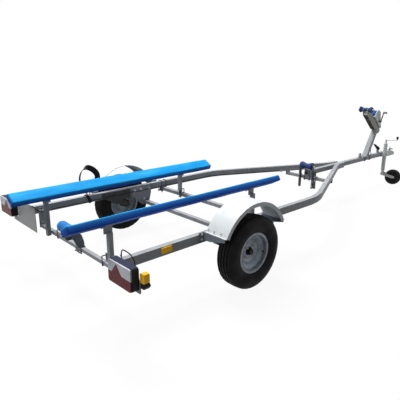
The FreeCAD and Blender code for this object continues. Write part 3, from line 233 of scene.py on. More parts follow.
RUBBER = Finish("tyre_rubber", dye(26, 26, 27), 0.72)
dust = RUBBER.noise(14.0, 6.0).over(0.42, 0.7)
RUBBER.set("Base Color", RUBBER.blend(dust * 0.4, dye(25, 25, 26), dye(52, 51, 49)))
RUBBER.set("Roughness", 0.62 + dust * 0.25)
RUBBER.height((RUBBER.noise(420.0, 2.0), 0.00015), (RUBBER.noise(60.0, 2.0), 0.0003))
WHEEL_X, WHEEL_Y, WHEEL_Z = 0.010, 0.8, 0.261
TYRE_STEPS = 96
NOTCH_DEPTH = 0.0018
SIDE_MM = (
    # radius, half width: from the bead out to the shoulder
    (130, 47), (145, 47.2), (147, 50), (148, 56), (152, 60), (160, 64), (172, 68), (176, 68.2), (180, 69.4),
    (190, 71.2), (200, 71.9), (212, 71.2), (222, 69.6), (226, 68.2), (231, 67), (236, 65),
)
TREAD_MM = (
    # radius, half width: over the shoulder and the ribs to the middle line
    (241, 62.5), (246.5, 60.5), (252, 57), (256.5, 52), (258.5, 47), (259.5, 40.5), (252.5, 39.5),
    (252.5, 34.5), (260, 33.5), (261, 17), (253, 16), (253, 9), (261.2, 8), (261.4, 0),
)
outer_half = [(radius / 1000, width / 1000) for radius, width in SIDE_MM + TREAD_MM]
tyre_profile = outer_half + [(radius, -width) for radius, width in reversed(outer_half[:-1])]
for side, y in (("left", WHEEL_Y), ("right", -WHEEL_Y)):
    wheel_centre = Vector((WHEEL_X, y, WHEEL_Z))
    tyre = lathe(tyre_profile, wheel_centre, TYRE_STEPS)
    notched = []
    for face in tyre.faces:
        place = face.calc_center_median() - wheel_centre
        radius = math.hypot(place.x, place.z)
        step = int((math.atan2(place.z, place.x) / math.tau + 1) * TYRE_STEPS + 0.001)
        on_shoulder = 0.041 < abs(place.y) < 0.0575 and radius > 0.2535
        on_rib = 0.018 < abs(place.y) < 0.033 and radius > 0.2585
        if (on_shoulder and step % 3 == 0) or (on_rib and (step + (place.y > 0)) % 4 == 0):
            notched.append(face)
    grown = bmesh.ops.extrude_face_region(tyre, geom=notched)
    bmesh.ops.delete(tyre, geom=notched, context="FACES_ONLY")
    for vert in (v for v in grown["geom"] if isinstance(v, bmesh.types.BMVert)):
        spoke = Vector((vert.co.x - wheel_centre.x, 0, vert.co.z - wheel_centre.z))
        vert.co -= spoke.normalized() * NOTCH_DEPTH
    made = piece("road_tyre_" + side, tyre, "wheel_" + side, RUBBER, 28)
    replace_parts(made, "tyre_" + side)


# ---- Rims and hubs: pressed steel in dull silver paint, bolted to the hub by four nuts.
# The paint is greyed with dust and has two rings painted darker as shade; the hub's open centre is painted
# near black as shade, and each rim has a valve.
def axle_distance_squared(finish):
    """Square of the distance from the wheels' axis, as a Tone."""
    x, _, z = finish.axes()
    ahead = x - WHEEL_X
    above = z - WHEEL_Z
    return ahead * ahead + above * above


SILVER = Finish("rim_paint", dye(226, 234, 244), 0.38, coat=0.04)
grime = SILVER.noise(26.0, 5.0).over(0.45, 0.72)
SILVER.set("Roughness", 0.34 + grime * 0.3)
from_axle = axle_distance_squared(SILVER).math("POWER", 0.5)
# Painted shade: a ring at the groove and one at the ledge are darkened to a bluish grey.
groove_shade = from_axle.over(0.116, 0.122) * (1.0 - from_axle.over(0.128, 0.133))
ledge_shade = from_axle.over(0.078, 0.084) * (1.0 - from_axle.over(0.088, 0.095))
painted = SILVER.blend(grime * 0.6, dye(228, 238, 250), dye(150, 150, 150))
SILVER.set("Base Color", SILVER.blend(groove_shade * 0.6 + ledge_shade * 0.45, painted, dye(92, 100, 116)))
SILVER.height((SILVER.noise(300.0, 2.0), 0.0001))
SILVER.on("rim_left", "rim_right")
HUB_STEEL = Finish("hub_steel", dye(200, 200, 200), 0.45, metal=0.04)
rust = HUB_STEEL.noise(70.0, 5.0).over(0.58, 0.72)
# Painted shade: the hub's centre, seen through the open middle of the disc, is painted near black.
bore = 1.0 - axle_distance_squared(HUB_STEEL).over(0.0013, 0.0018)
plain = HUB_STEEL.blend(rust * 0.7, dye(214, 214, 212), dye(120, 90, 70))
HUB_STEEL.set("Base Color", HUB_STEEL.blend(bore, plain, dye(20, 19, 18)))
HUB_STEEL.set("Roughness", 0.4 + rust * 0.4)
HUB_STEEL.on("hub_left", "hub_right")
VALVE_REACH, VALVE_OUT, VALVE_DROP = 0.1105, 0.034, 0.0235
for side, hand in (("left", 1), ("right", -1)):
    valve = bmesh.new()
    bmesh.ops.create_cone(valve, cap_ends=True, segments=12, radius1=0.0045, radius2=0.003, depth=0.03)
    bmesh.ops.create_cone(valve, cap_ends=True, segments=12, radius1=0.0075, radius2=0.0045, depth=0.012,
                          matrix=Matrix.Translation((0, 0, -0.014)))
    bmesh.ops.rotate(valve, verts=valve.verts, matrix=Matrix.Rotation(-hand * math.radians(90), 3, "X"))
    bmesh.ops.rotate(valve, verts=valve.verts, matrix=Matrix.Rotation(hand * math.radians(12), 3, "Z"))
    valve_place = (WHEEL_X + VALVE_REACH, hand * (WHEEL_Y + VALVE_OUT), WHEEL_Z - VALVE_DROP)
    bmesh.ops.translate(valve, verts=valve.verts, vec=valve_place)
    piece("valve_" + side, valve, "wheel_" + side, RUBBER)


# ---- Mudguards: one rolled zinc sheet over each wheel, bolted to arms on the rails.
# Pale and almost smooth, with soft ripples from the rolling and grey scuffs; the arms are darker zinc.
GUARD = Finish("guard_sheet", dye(236, 238, 240), 0.4, metal=0.02, coat=0.02)
scuff = GUARD.noise(11.0, 6.0).over(0.5, 0.75)
GUARD.set("Base Color", GUARD.blend(scuff * 0.3, dye(226, 230, 233), dye(184, 187, 190)))
GUARD.set("Roughness", 0.32 + scuff * 0.25)
GUARD.height((GUARD.noise(4.0, 2.0, GUARD.squeezed(1.0, 3.0, 1.0)), 0.003), (GUARD.noise(240.0, 2.0), 0.0001))
GUARD.on("mudguards")
ARM_ZINC = galvanised("guard_arm_zinc", dye(146, 155, 165), dye(116, 124, 136), dye(172, 175, 178))
ARM_ZINC.on("mudguard_arms")


# ---- Bunks: two long boards wrapped in a blue woven cover, on four bent cradles.
# The wrap is drawn tight over rounded edges, with slight ripples. Its lower sides are painted a deeper blue
# than its top as shade, and the tail ends where it is folded over are painted darkest as shade.
BOARD_WIDTH, BOARD_THICK = 0.106, 0.050
BUNK_Y, BUNK_Z = 0.406, 0.600
BUNK_TILT = math.radians(29)
COVER = Finish("bunk_cover", dye(30, 150, 236), 0.62, shine=0.06)
weave = COVER.node("ShaderNodeTexVoronoi", "Distance", links=[("Vector", COVER.where), ("Scale", 520.0)])
worn = COVER.noise(7.0, 6.0, COVER.squeezed(0.5, 2.0, 2.0)).over(0.4, 0.7)
x, y, z = COVER.axes()
# Painted shade: the tail ends are painted darkest, and the faces below the top a deeper blue than the top.
tail_end_shade = 1.0 - x.over(-1.133, -1.120)
sunk = (y.absolute() - BUNK_Y) * math.sin(BUNK_TILT) - (z - BUNK_Z) * math.cos(BUNK_TILT)
cloth = COVER.blend(worn * 0.6, dye(26, 158, 234), dye(70, 200, 246))
sides = COVER.blend(sunk.over(0.008, 0.034), dye(52, 140, 226), dye(40, 98, 204))
cloth = COVER.blend(sunk.over(0.004, 0.010), cloth, sides)
COVER.set("Base Color", COVER.blend(tail_end_shade * 0.6, cloth, dye(16, 62, 150)))
COVER.set("Roughness", 0.55 + worn * 0.12)
COVER.height((weave, 0.0004), (COVER.noise(30.0, 3.0, COVER.squeezed(0.4, 1.5, 1.5)), 0.0012))
ZINC.on("bunk_cradles")
low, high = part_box("bunks")
length = high.x - low.x
for side, hand in (("left", 1), ("right", -1)):
    board = bmesh.new()
    bmesh.ops.create_cube(board, size=1.0)
    bmesh.ops.scale(board, verts=board.verts, vec=(length, BOARD_WIDTH, BOARD_THICK))
    bmesh.ops.bevel(board, geom=board.edges, offset=0.0105, offset_type="OFFSET", segments=4, profile=0.5,
                    affect="EDGES", material=-1)
    long_edges = [e for e in board.edges if abs(e.verts[0].co.x - e.verts[1].co.x) > length / 2]
    bmesh.ops.subdivide_edges(board, edges=long_edges, cuts=90, use_grid_fill=True)
    for vert in board.verts:
        ripple = noise.noise(Vector((vert.co.x * 9, vert.co.y * 30, vert.co.z * 30 + hand * 7)))
        vert.co += vert.normal * (ripple - 0.6) * 0.0011
    bmesh.ops.translate(board, verts=board.verts, vec=(0, 0, -BOARD_THICK / 2))
    bmesh.ops.rotate(board, verts=board.verts, matrix=Matrix.Rotation(hand * BUNK_TILT, 3, "X"))
    bmesh.ops.translate(board, verts=board.verts, vec=((low.x + high.x) / 2, hand * BUNK_Y, BUNK_Z))
    covered = piece("bunk_cover_" + side, board, "frame", COVER, 60)
    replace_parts(covered, "bunks")


# ---- Plated metal: the winch, the coupling, the jockey's tubes and all the nuts, in bright zinc.
# It is smoother and a little yellower than the dipped tubes. The winch's crank has lost its plate, and the
# arm that carries the winch is a dipped channel, its open back painted dark as the shade inside it.
PLATED = Finish("bright_zinc", dye(222, 226, 226), 0.36, metal=0.05)
tarnish = PLATED.noise(40.0, 5.0).over(0.45, 0.7)
PLATED.set("Base Color", PLATED.blend(tarnish * 0.5, dye(220, 224, 224), dye(174, 172, 165)))
PLATED.set("Roughness", 0.28 + tarnish * 0.25)
PLATED.height((PLATED.noise(260.0, 2.0), 0.0001))
PLATED.on("winch_frame", "winch_drum", "coupling_body", "coupling_lever",
          "jockey_clamp", "jockey_tube", "jockey_leg", "jockey_fork", "jockey_crank")
WORN = Finish("worn_steel", dye(120, 108, 102), 0.5, metal=0.05)
worn_off = WORN.noise(60.0, 5.0).over(0.45, 0.7)
WORN.set("Base Color", WORN.blend(worn_off * 0.6, dye(112, 100, 95), dye(72, 58, 51)))
WORN.height((WORN.noise(260.0, 2.0), 0.0001))
WORN.on("winch_crank")
ZINC.on("winch_post", "fittings")
CHANNEL = galvanised("channel_zinc", dye(184, 184, 180), dye(146, 145, 139), dye(204, 204, 202))
CHANNEL_BACK_X, CHANNEL_BACK_Z = 3.305, 0.755
CHANNEL_HALF = 0.0255
x, y, z = CHANNEL.axes()
# Painted shade: behind this plane and between the channel's cheeks the arm is painted dark brown, for the
# shade inside it.
behind = (CHANNEL_BACK_X - x) * 0.617 + (CHANNEL_BACK_Z - z) * 0.787
channel_shade = behind.math("GREATER_THAN", -0.002) * y.absolute().math("LESS_THAN", CHANNEL_HALF)
dipped = Tone(CHANNEL.tree, CHANNEL.shader.inputs["Base Color"].links[0].from_socket)
CHANNEL.set("Base Color", CHANNEL.blend(channel_shade, dipped, dye(58, 52, 46)))
CHANNEL.on("winch_arm")


def bolted(mesh, place, axis, size, thread):
    """Washer, hex nut and the end of a thread, set on a face along an axis."""
    turn = Vector((0, 0, 1)).rotation_difference(Vector(axis)).to_matrix().to_4x4()
    rows = (
        # sides, radius, depth, start: washer, nut and thread
        (16, 1.2 * size, 0.0015, 0.0),
        (6, size, 0.75 * size, 0.0015),
        (10, 0.52 * size, thread, 0.0),
    )
    for sides, radius, deep, start in rows:
        shift = Matrix.Translation((0, 0, start + deep / 2))
        bmesh.ops.create_cone(mesh, cap_ends=True, segments=sides, radius1=radius, radius2=radius, depth=deep,
                              matrix=Matrix.Translation(place) @ turn @ shift)


FASTENERS = (
    # x, y, z, direction, nut radius, thread length; mirrored where y isn't 0
    (-0.815, 0.320, 0.2532, (1, 0, 0), 0.0075, 0.016),
    (-0.815, 0.320, 0.3198, (1, 0, 0), 0.0075, 0.016),
    (0.366, 0.360, 0.3377, (-1, 0, 0), 0.0075, 0.016),
    (0.366, 0.360, 0.4043, (-1, 0, 0), 0.0075, 0.016),
    (-0.855, 0.026, 0.2532, (-1, 0, 0), 0.0075, 0.014),
    (-0.855, 0.026, 0.2868, (-1, 0, 0), 0.0075, 0.014),
    (1.886, 0.100, 0.3227, (-1, 0, 0), 0.0075, 0.016),
    (1.886, 0.100, 0.3613, (-1, 0, 0), 0.0075, 0.016),
    (0.365, 0.6297, 0.337, (0, 0, -1), 0.0075, 0.016),
    (0.417, 0.6297, 0.337, (0, 0, -1), 0.0075, 0.016),
    (0.365, 0.6783, 0.337, (0, 0, -1), 0.0075, 0.016),
    (0.417, 0.6783, 0.337, (0, 0, -1), 0.0075, 0.016),
    (1.884, 0.0293, 0.322, (0, 0, -1), 0.0075, 0.016),
    (1.936, 0.0293, 0.322, (0, 0, -1), 0.0075, 0.016),
    (3.130, 0.0293, 0.428, (0, 0, 1), 0.0075, 0.016),
    (3.258, 0.0293, 0.428, (0, 0, 1), 0.0075, 0.016),
    (-0.846, 0.628, 0.392, (0, -1, 0), 0.009, 0.011),
    (-0.822, 0.628, 0.392, (0, -1, 0), 0.009, 0.011),
    (-0.835, 0.628, 0.300, (0, -1, 0), 0.009, 0.011),
    (0.052, 0.628, 0.394, (0, -1, 0), 0.010, 0.012),
    (0.120, 0.628, 0.394, (0, -1, 0), 0.010, 0.012),
    (0.212, 0.628, 0.390, (0, -1, 0), 0.010, 0.012),
    (0.150, 0.628, 0.300, (0, -1, 0), 0.009, 0.011),
    (-0.322, 0.680, 0.432, (0, 1, 0), 0.008, 0.010),
    (-0.322, 0.680, 0.398, (0, 1, 0), 0.008, 0.010),
    (0.313, 0.680, 0.432, (0, 1, 0), 0.008, 0.010),
    (0.313, 0.680, 0.398, (0, 1, 0), 0.008, 0.010),
    (-0.258, 0.680, 0.402, (0, 1, 0), 0.010, 0.012),
    (-0.165, 0.680, 0.402, (0, 1, 0), 0.010, 0.012),
    (-0.050, 0.680, 0.402, (0, 1, 0), 0.010, 0.012),
    (-0.286, 0.705, 0.466, (-0.865, 0, 0.5), 0.006, 0.005),
    (-0.286, 0.757, 0.466, (-0.865, 0, 0.5), 0.006, 0.005),
    (-0.286, 0.820, 0.466, (-0.865, 0, 0.5), 0.006, 0.005),
    (0.276, 0.705, 0.466, (0.865, 0, 0.5), 0.006, 0.005),
    (0.276, 0.757, 0.466, (0.865, 0, 0.5), 0.006, 0.005),
    (0.276, 0.820, 0.466, (0.865, 0, 0.5), 0.006, 0.005),
    (3.352, 0.034, 0.756, (0, 1, 0), 0.010, 0.013),
    (3.392, 0.034, 0.722, (0, 1, 0), 0.010, 0.013),
    (3.070, 0.086, 1.015, (0, 1, 0), 0.012, 0.014),
    (-0.925, 0.097, 0.435, (0, 1, 0), 0.012, 0.013),
    (1.870, 0.088, 0.475, (0, 1, 0), 0.012, 0.014),
    (-0.985, 0.668, 0.410, (-1, 0, 0), 0.008, 0.008),
    (3.835, 0.028, 0.436, (0, 1, 0), 0.008, 0.009),
    (3.600, 0.0, 0.422, (0, 0, 1), 0.009, 0.008),
)
hardware = bmesh.new()
for x, y, z, axis, size, thread in FASTENERS:
    for hand in (1, -1) if y else (1,):
        bolted(hardware, (x, y * hand, z), (axis[0], axis[1] * hand, axis[2]), size, thread)
piece("fasteners", hardware, "frame", PLATED, 35)


# ---- Keel rollers: moulded rubber on steel pins, navy at the bow and middle, sky blue at the tail.
# The rubber is chalky where hulls have rubbed it. The arms and U-bolts that hold the rollers are dull zinc.
def roller_rubber(name, deep, chalky):
    rubber = Finish(name, deep, 0.5)
    rubbed = rubber.noise(30.0, 6.0).over(0.45, 0.75)
    rubber.set("Base Color", rubber.blend(rubbed * 0.55, deep, chalky))
    rubber.set("Roughness", 0.42 + rubbed * 0.3)
    rubber.height((rubber.noise(180.0, 3.0), 0.0002))
    return rubber


NAVY = roller_rubber("navy_rubber", dye(46, 66, 116), dye(96, 124, 174))
SKY = roller_rubber("sky_rubber", dye(44, 122, 198), dye(92, 160, 222))
NAVY.on("keel_roller_mid", "bow_roller")
SKY.on("keel_roller_rear")
BRACKET = galvanised("bracket_zinc", dye(138, 142, 149), dye(92, 96, 103), dye(164, 166, 169))
BRACKET.on("keel_brackets", "clamp_bolts")


# ---- Tail lamps: black housings on bare alloy plates, with a clear band that meets the red in a peak.
# The housings' lids are dark blue. The lenses are fluted; the marker lamps' and reflectors' ones are amber.
BLACK = Finish("black_moulding", dye(32, 33, 36), 0.5, coat=0.03, coat_rough=0.2)
x, y, z = BLACK.axes()
lid = z.over(0.4905, 0.4925) * (1.0 - x.over(-0.9, -0.8))
BLACK.set("Base Color", BLACK.blend(lid, dye(32, 33, 36), dye(40, 46, 72)))
BLACK.set("Roughness", 0.42 + BLACK.noise(50.0, 4.0) * 0.25)
BLACK.height((BLACK.noise(500.0, 2.0), 0.0001))
BLACK.on("lamp_bodies", "plug")
SHEET = Finish("plate_alloy", dye(196, 198, 200), 0.42, metal=0.04)
brushed = SHEET.noise(60.0, 3.0, SHEET.squeezed(1.0, 0.06, 1.0))
SHEET.set("Base Color", SHEET.blend(brushed, dye(160, 162, 164), dye(178, 180, 182)))
SHEET.height((brushed, 0.0001))
SHEET.on("lamp_plates")
LENS = Finish("lamp_lens", dye(120, 26, 30), 0.2, coat=0.02, shine=0.06)
LENS_INNER_Y, LENS_WIDTH = 0.706, 0.219
LENS_FOOT_Z, LENS_HEIGHT = 0.361, 0.132
x, y, z = LENS.axes()
across = (y.absolute() - LENS_INNER_Y) * (1 / LENS_WIDTH)
up = (z - LENS_FOOT_Z) * (1 / LENS_HEIGHT)
peak = 0.94 - 2.0 * (across - 0.39).absolute()
red = up.math("LESS_THAN", 0.5).math("MAXIMUM", up.math("LESS_THAN", peak))
ahead = x.math("GREATER_THAN", -0.99)
wave = [("Vector", LENS.where), ("Scale", 60.0)]
flutes = LENS.node("ShaderNodeTexWave", "Fac", [("bands_direction", "Y")], wave)
glass = LENS.blend(flutes * 0.5, dye(232, 236, 242), dye(188, 194, 204))
# Painted shade: the clear band darkens to a bluish grey towards its top inner corner.
shade = (1.0 - across.over(0.05, 0.55)) * up.over(0.55, 0.95)
glass = LENS.blend(shade * 0.6, glass, dye(128, 140, 160))
tinted = LENS.blend(red, glass, LENS.blend(flutes * 0.5, dye(122, 22, 34), dye(92, 18, 28)))
amber = LENS.blend(flutes * 0.4, dye(255, 204, 56), dye(236, 172, 36))
LENS.set("Base Color", LENS.blend(ahead, tinted, amber))
# Painted glow: the amber lenses give off a faint amber light of their own, standing in for light they let
# through.
LENS.set("Emission Color", LENS.blend(ahead, dye(0, 0, 0), dye(255, 170, 20)))
LENS.set("Emission Strength", 0.10)
LENS.height((flutes, 0.0006))
LENS.on("lamp_lenses")


# ---- Cables: round black sheath, clipped along the rails and hung in a loop at the plug.
# The rail cables keep their solids; the plug's lead is free and hangs as one smooth line.
SHEATH = Finish("cable_sheath", dye(30, 30, 32), 0.48)
SHEATH.set("Roughness", 0.4 + SHEATH.noise(90.0, 3.0) * 0.25)
SHEATH.on("lamp_cable_left", "lamp_cable_right", "plug_lead")
LEAD_DIAMETER = 0.007
LEAD = (
    # x, y, z from the plug back to the drawbar
    (3.406, 0, 0.547),
    (3.385, 0, 0.55867),
    (3.352, 0.004, 0.552),
    (3.338, 0.008, 0.520),
    (3.336, 0.010, 0.480),
    (3.335, 0.006, 0.452),
    (3.335, 0, 0.436),
)
route = bpy.data.curves.new("plug_cord", "CURVE")
route.dimensions = "3D"
route.bevel_depth = LEAD_DIAMETER / 2
route.bevel_resolution = 4
route.use_fill_caps = True
line = route.splines.new("NURBS")
line.points.add(len(LEAD) - 1)
for point, place in zip(line.points, LEAD):
    point.co = (*place, 1.0)
line.use_endpoint_u = True
line.order_u = 3
line.resolution_u = 12
plug_cord = add_object("plug_cord", route)
route.materials.append(SHEATH.material)
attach(plug_cord, "frame")
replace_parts(plug_cord, "plug_lead")


# ---- Winch strap and tie-down: blue webbing wound on the drum, black webbing on the left rail.
# Both are flat woven polyester with a fine cross rib and a slight shine.
def webbing(name, colour, light):
    web = Finish(name, colour, 0.6, sheen=0.05)
    rib = web.node("ShaderNodeTexWave", "Fac", links=[("Vector", web.where), ("Scale", 160.0)])
    web.set("Base Color", web.blend(rib * 0.4, colour, light))
    web.height((rib, 0.0004))
    return web


def ribbon(mesh, stations, thick):
    """Flat strip through (centre, half width) stations, as a closed body."""
    rings = []
    for i, (centre, half) in enumerate(stations):
        before = stations[max(i - 1, 0)][0]
        after = stations[min(i + 1, len(stations) - 1)][0]
        normal = (after - before).cross(half).normalized() * thick / 2
        corners = ((1, 1), (1, -1), (-1, -1), (-1, 1))
        rings.append([mesh.verts.new(centre + a * half + b * normal) for a, b in corners])
    for one, two in zip(rings, rings[1:]):
        for k in range(4):
            mesh.faces.new((one[k], one[(k + 1) % 4], two[(k + 1) % 4], two[k]))
    mesh.faces.new(rings[0])
    mesh.faces.new(rings[-1][::-1])


def smooth_run(rows, steps):
    """Points of a curve that passes through each row, four or more numbers in each."""
    run = []
    for i in range(len(rows) - 1):
        four = [Vector(rows[min(max(i + k, 0), len(rows) - 1)]) for k in (-1, 0, 1, 2)]
        for j in range(steps):
            t = j / steps
            run.append(0.5 * (2 * four[1] + (four[2] - four[0]) * t
                       + (2 * four[0] - 5 * four[1] + 4 * four[2] - four[3]) * t * t
                       + (3 * four[1] - four[0] - 3 * four[2] + four[3]) * t ** 3))
    return run + [Vector(rows[-1])]


BLUE_WEB = webbing("blue_webbing", dye(28, 70, 128), dye(64, 136, 180))
BLACK_WEB = webbing("black_webbing", dye(24, 24, 26), dye(44, 44, 48))
drum = Vector((3.336481, 0.0, 0.94133))
strap_half = Vector((0, 0.0315, 0))
STRAP_THICK, STRAP_PITCH, CORE_RADIUS = 0.0014, 0.0019, 0.0215
STRAP_TURNS, TURN_STEPS = 13, 24
STRAP_END = ((0.047, 0.012), (0.045, 0.026), (0.036, 0.036), (0.026, 0.043), (0.014, 0.0475))
wound = []
for i in range(TURN_STEPS * STRAP_TURNS + 1):
    turn = i / TURN_STEPS * math.tau
    radius = CORE_RADIUS + i / TURN_STEPS * STRAP_PITCH
    wound.append((drum + Vector((math.cos(turn), 0, math.sin(turn))) * radius, strap_half))
wound += [(drum + Vector((x, 0, z)), strap_half) for x, z in STRAP_END]
roll = bmesh.new()
ribbon(roll, wound, STRAP_THICK)
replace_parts(piece("wound_strap", roll, "winch_drum", BLUE_WEB, 50), "winch_strap")
LOOP = (
    # x, y, z, half width, share turned from edge-on to face-on
    (-0.408, 0.656, 0.436, 0.012, 0.0),
    (-0.440, 0.656, 0.470, 0.016, 0.0),
    (-0.466, 0.656, 0.530, 0.020, 0.0),
    (-0.475, 0.656, 0.585, 0.022, 0.0),
    (-0.463, 0.656, 0.628, 0.022, 0.05),
    (-0.440, 0.656, 0.657, 0.022, 0.2),
    (-0.402, 0.656, 0.672, 0.022, 0.7),
    (-0.362, 0.656, 0.656, 0.024, 1.0),
    (-0.332, 0.656, 0.630, 0.025, 1.0),
    (-0.312, 0.656, 0.598, 0.024, 1.0),
    (-0.314, 0.656, 0.560, 0.022, 0.8),
    (-0.345, 0.656, 0.520, 0.018, 0.4),
    (-0.380, 0.656, 0.470, 0.014, 0.1),
    (-0.396, 0.656, 0.436, 0.012, 0.0),
)
WRAP = (
    # x, y, z: down the inner face, under the rail and up outside
    (-0.432, 0.656, 0.4345),
    (-0.428, 0.634, 0.4345),
    (-0.424, 0.6310, 0.428),
    (-0.402, 0.6310, 0.376),
    (-0.398, 0.6330, 0.3690),
    (-0.396, 0.654, 0.3685),
    (-0.396, 0.675, 0.3690),
    (-0.400, 0.6770, 0.380),
    (-0.422, 0.6770, 0.428),
    (-0.430, 0.674, 0.4345),
    (-0.432, 0.656, 0.4345),
)
TIE_THICK = 0.002
WRAP_HALF = Vector((0.93, 0, 0.37)) * 0.012
tie = bmesh.new()
run = smooth_run(LOOP, 6)
edgeways = Vector((0.68, 0.70, -0.20))
stations = []
for i, row in enumerate(run):
    along = (Vector(run[min(i + 1, len(run) - 1)][:3]) - Vector(run[max(i - 1, 0)][:3])).normalized()
    flat = along.cross(edgeways).normalized()
    stations.append((Vector(row[:3]), edgeways.lerp(flat, row[4]).normalized() * row[3]))
ribbon(tie, stations, TIE_THICK)
ribbon(tie, [(Vector(row), WRAP_HALF) for row in WRAP], TIE_THICK)
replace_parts(piece("tie_down", tie, "frame", BLACK_WEB, 50), "tie_strap")


# ---- Winch gears: teeth round the large wheel on the drum and round the pinion on the crank's shaft.
# Both gears are bare pressed steel with grease in the roots; the ratio is 72 to 16.
GEAR_FACES = (0.0504, 0.0596)


def toothed(centre, root, tip, bore, teeth, phase):
    """Ring with trapezoid teeth, turned about the Y axis through its centre."""
    mesh = bmesh.new()
    corners = [(tooth + share - 0.36, radius) for tooth in range(teeth)
               for share, radius in ((0.0, root), (0.22, tip), (0.5, tip), (0.72, root))]
    near, far = GEAR_FACES
    rings = []
    for y, bored in ((near, False), (near, True), (far, True), (far, False)):
        ring = []
        for turn, radius in corners:
            angle = phase + turn / teeth * math.tau
            spoke = Vector((math.cos(angle), 0, math.sin(angle)))
            ring.append(mesh.verts.new(centre + spoke * (bore if bored else radius) + Vector((0, y, 0))))
        rings.append(ring)
    for one, two in zip(rings, rings[1:] + rings[:1]):
        for k in range(len(corners)):
            n = (k + 1) % len(corners)
            mesh.faces.new((one[k], one[n], two[n], two[k]))
    return mesh


GEAR = Finish("gear_steel", dye(150, 154, 158), 0.4, metal=0.1)
grease = GEAR.noise(120.0, 5.0).over(0.5, 0.7)
GEAR.set("Base Color", GEAR.blend(grease * 0.6, dye(160, 164, 168), dye(70, 66, 58)))
DRUM_TEETH, PINION_TEETH = 72, 16
crank = Vector((3.370762, 0.0, 0.852844))
toward = math.atan2(crank.z - drum.z, crank.x - drum.x)
big = toothed(drum, 0.0748, 0.0790, 0.060, DRUM_TEETH, toward)
piece("drum_gear", big, "winch_drum", GEAR, 30)
small = toothed(crank, 0.0143, 0.0186, 0.010, PINION_TEETH, toward + math.pi + math.pi / PINION_TEETH)
piece("pinion_gear", small, "winch_crank", GEAR, 30)


# ---- Jockey wheel and grip: solid rubber tyre, and the black knob on the end of the jockey's crank.
# Dark grey rubber, scuffed pale along the tread; the knob is a moulded taper with soft edges.
JOCKEY_RUBBER = Finish("jockey_rubber", dye(44, 44, 45), 0.7)
rubbing = JOCKEY_RUBBER.noise(40.0, 5.0).over(0.45, 0.7)
JOCKEY_RUBBER.set("Base Color", JOCKEY_RUBBER.blend(rubbing * 0.5, dye(42, 42, 43), dye(88, 86, 83)))
JOCKEY_RUBBER.on("jockey_wheel")
GRIP = Finish("grip_black", dye(30, 30, 31), 0.5)
GRIP.set("Roughness", 0.4 + GRIP.noise(80.0, 3.0) * 0.3)
GRIP.height((GRIP.noise(300.0, 2.0), 0.0002))
JOCKEY_X, JOCKEY_Y, KNOB_Z = 3.615, -0.056, 0.614
HANDLE_LENGTH = 0.150
HANDLE_HEADING = math.radians(-40.0)
knob = bmesh.new()
bmesh.ops.create_cone(knob, cap_ends=True, segments=24, radius1=0.0115, radius2=0.0150, depth=0.040)
rims = [e for e in knob.edges if abs(e.verts[0].co.z - e.verts[1].co.z) < 0.001]
bmesh.ops.bevel(knob, geom=rims, offset=0.003, offset_type="OFFSET", segments=3, profile=0.5,
                affect="EDGES", material=-1)
knob_place = (JOCKEY_X + HANDLE_LENGTH * math.cos(HANDLE_HEADING),
              JOCKEY_Y + HANDLE_LENGTH * math.sin(HANDLE_HEADING), KNOB_Z)
bmesh.ops.translate(knob, verts=knob.verts, vec=knob_place)
piece("jockey_knob", knob, "jockey_crank", GRIP, 40)


# ---- Studio: a pale floor, a pale room, two large soft lamps, a small one by the nose, and the camera.
# The floor and the room look white to the camera but send little light back to the object.
def seen_white(tree, plain, white):
    """Mix of two shaders: the second for camera, glossy and transmission rays, the first for the rest."""
    camera_ray, glossy_ray, through_ray = (add_node(tree, "ShaderNodeLightPath", "Is %s Ray" % kind)
                                           for kind in ("Camera", "Glossy", "Transmission"))
    seen = camera_ray.math("MAXIMUM", glossy_ray).math("MAXIMUM", through_ray)
    return add_node(tree, "ShaderNodeMixShader", 0, links=[(0, seen), (1, plain), (2, white)])


room = bpy.data.worlds.new("studio")
bpy.context.scene.world = room
room.use_nodes = True
tree = room.node_tree
tree.nodes.clear()
white_room = add_node(tree, "ShaderNodeBackground", 0, links=[("Color", (1, 1, 1, 1))])
dim_light = [("Color", (0.92, 0.96, 1.0, 1)), ("Strength", 0.15)]
lit_room = add_node(tree, "ShaderNodeBackground", 0, links=dim_light)
room_end = tree.nodes.new("ShaderNodeOutputWorld")
join(tree, seen_white(tree, lit_room, white_room), room_end.inputs[0])

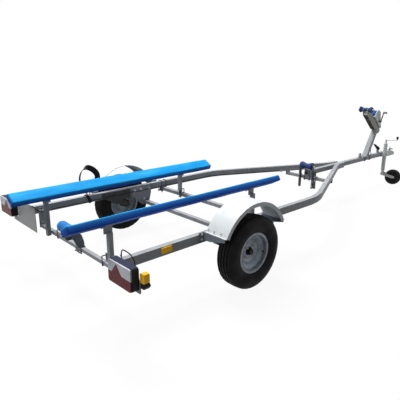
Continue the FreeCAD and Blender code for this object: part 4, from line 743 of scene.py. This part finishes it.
ground = bmesh.new()
bmesh.ops.create_grid(ground, x_segments=1, y_segments=1, size=30)
ground_data = bpy.data.meshes.new("floor")
ground.to_mesh(ground_data)
ground.free()
floor = add_object("floor", ground_data)
FLOOR = bpy.data.materials.new("floor_paint")
FLOOR.use_nodes = True
tree = FLOOR.node_tree
tree.nodes.clear()
grey = add_node(tree, "ShaderNodeBsdfDiffuse", 0, links=[("Color", (0.13, 0.13, 0.13, 1))])
pale = add_node(tree, "ShaderNodeBsdfDiffuse", 0, links=[("Color", (0.9, 0.9, 0.9, 1))])
glow = add_node(tree, "ShaderNodeEmission", 0, links=[("Color", (1, 1, 1, 1))])
place = add_node(tree, "ShaderNodeTexCoord", "Object")
distance = add_node(tree, "ShaderNodeVectorMath", "Value", [("operation", "LENGTH")], [(0, place)])
fade = [("Value", distance), ("From Min", 2.0), ("From Max", 5.5), ("To Min", 0.93), ("To Max", 1.0)]
faint = add_node(tree, "ShaderNodeMapRange", "Result", links=fade)
shadowed = add_node(tree, "ShaderNodeMixShader", 0, links=[(0, faint), (1, pale), (2, glow)])
floor_end = tree.nodes.new("ShaderNodeOutputMaterial")
join(tree, seen_white(tree, grey, shadowed), floor_end.inputs[0])
ground_data.materials.append(FLOOR)

LAMPS = (
    # name, place, size, power, aim
    ("key", (0.4, 2.8, 8.0), 4.0, 860.0, (1.0, 0.0, 0.3)),
    ("fill", (-8.0, 0.5, 4.0), 4.0, 190.0, (0.6, 0.0, 0.5)),
    ("nose", (5.2, -3.6, 1.8), 1.6, 34.0, (3.5, 0.0, 0.7)),
)
for name, place, size, power, aim in LAMPS:
    lamp = bpy.data.lights.new(name, "AREA")
    lamp.size = size
    lamp.energy = power
    hung = add_object(name, lamp)
    hung.location = place
    hung.rotation_euler = (Vector(aim) - Vector(place)).to_track_quat("-Z", "Y").to_euler()

eye = bpy.data.cameras.new("camera")
eye.lens = 38.98
eye.sensor_width = 36.0
eye.shift_x = -0.0026
eye.shift_y = -0.0076
camera = add_object("camera", eye)
heading = Matrix.Rotation(math.radians(47.1685 - 90), 4, "Z")
dip = Matrix.Rotation(math.radians(90 - 16.0205), 4, "X")
lean = Matrix.Rotation(math.radians(0.3254), 4, "Z")
camera.matrix_world = Matrix.Translation((-2.1203, -2.6100, 1.4436)) @ heading @ dip @ lean
bpy.context.scene.camera = camera
bpy.context.scene.view_settings.view_transform = "Standard"
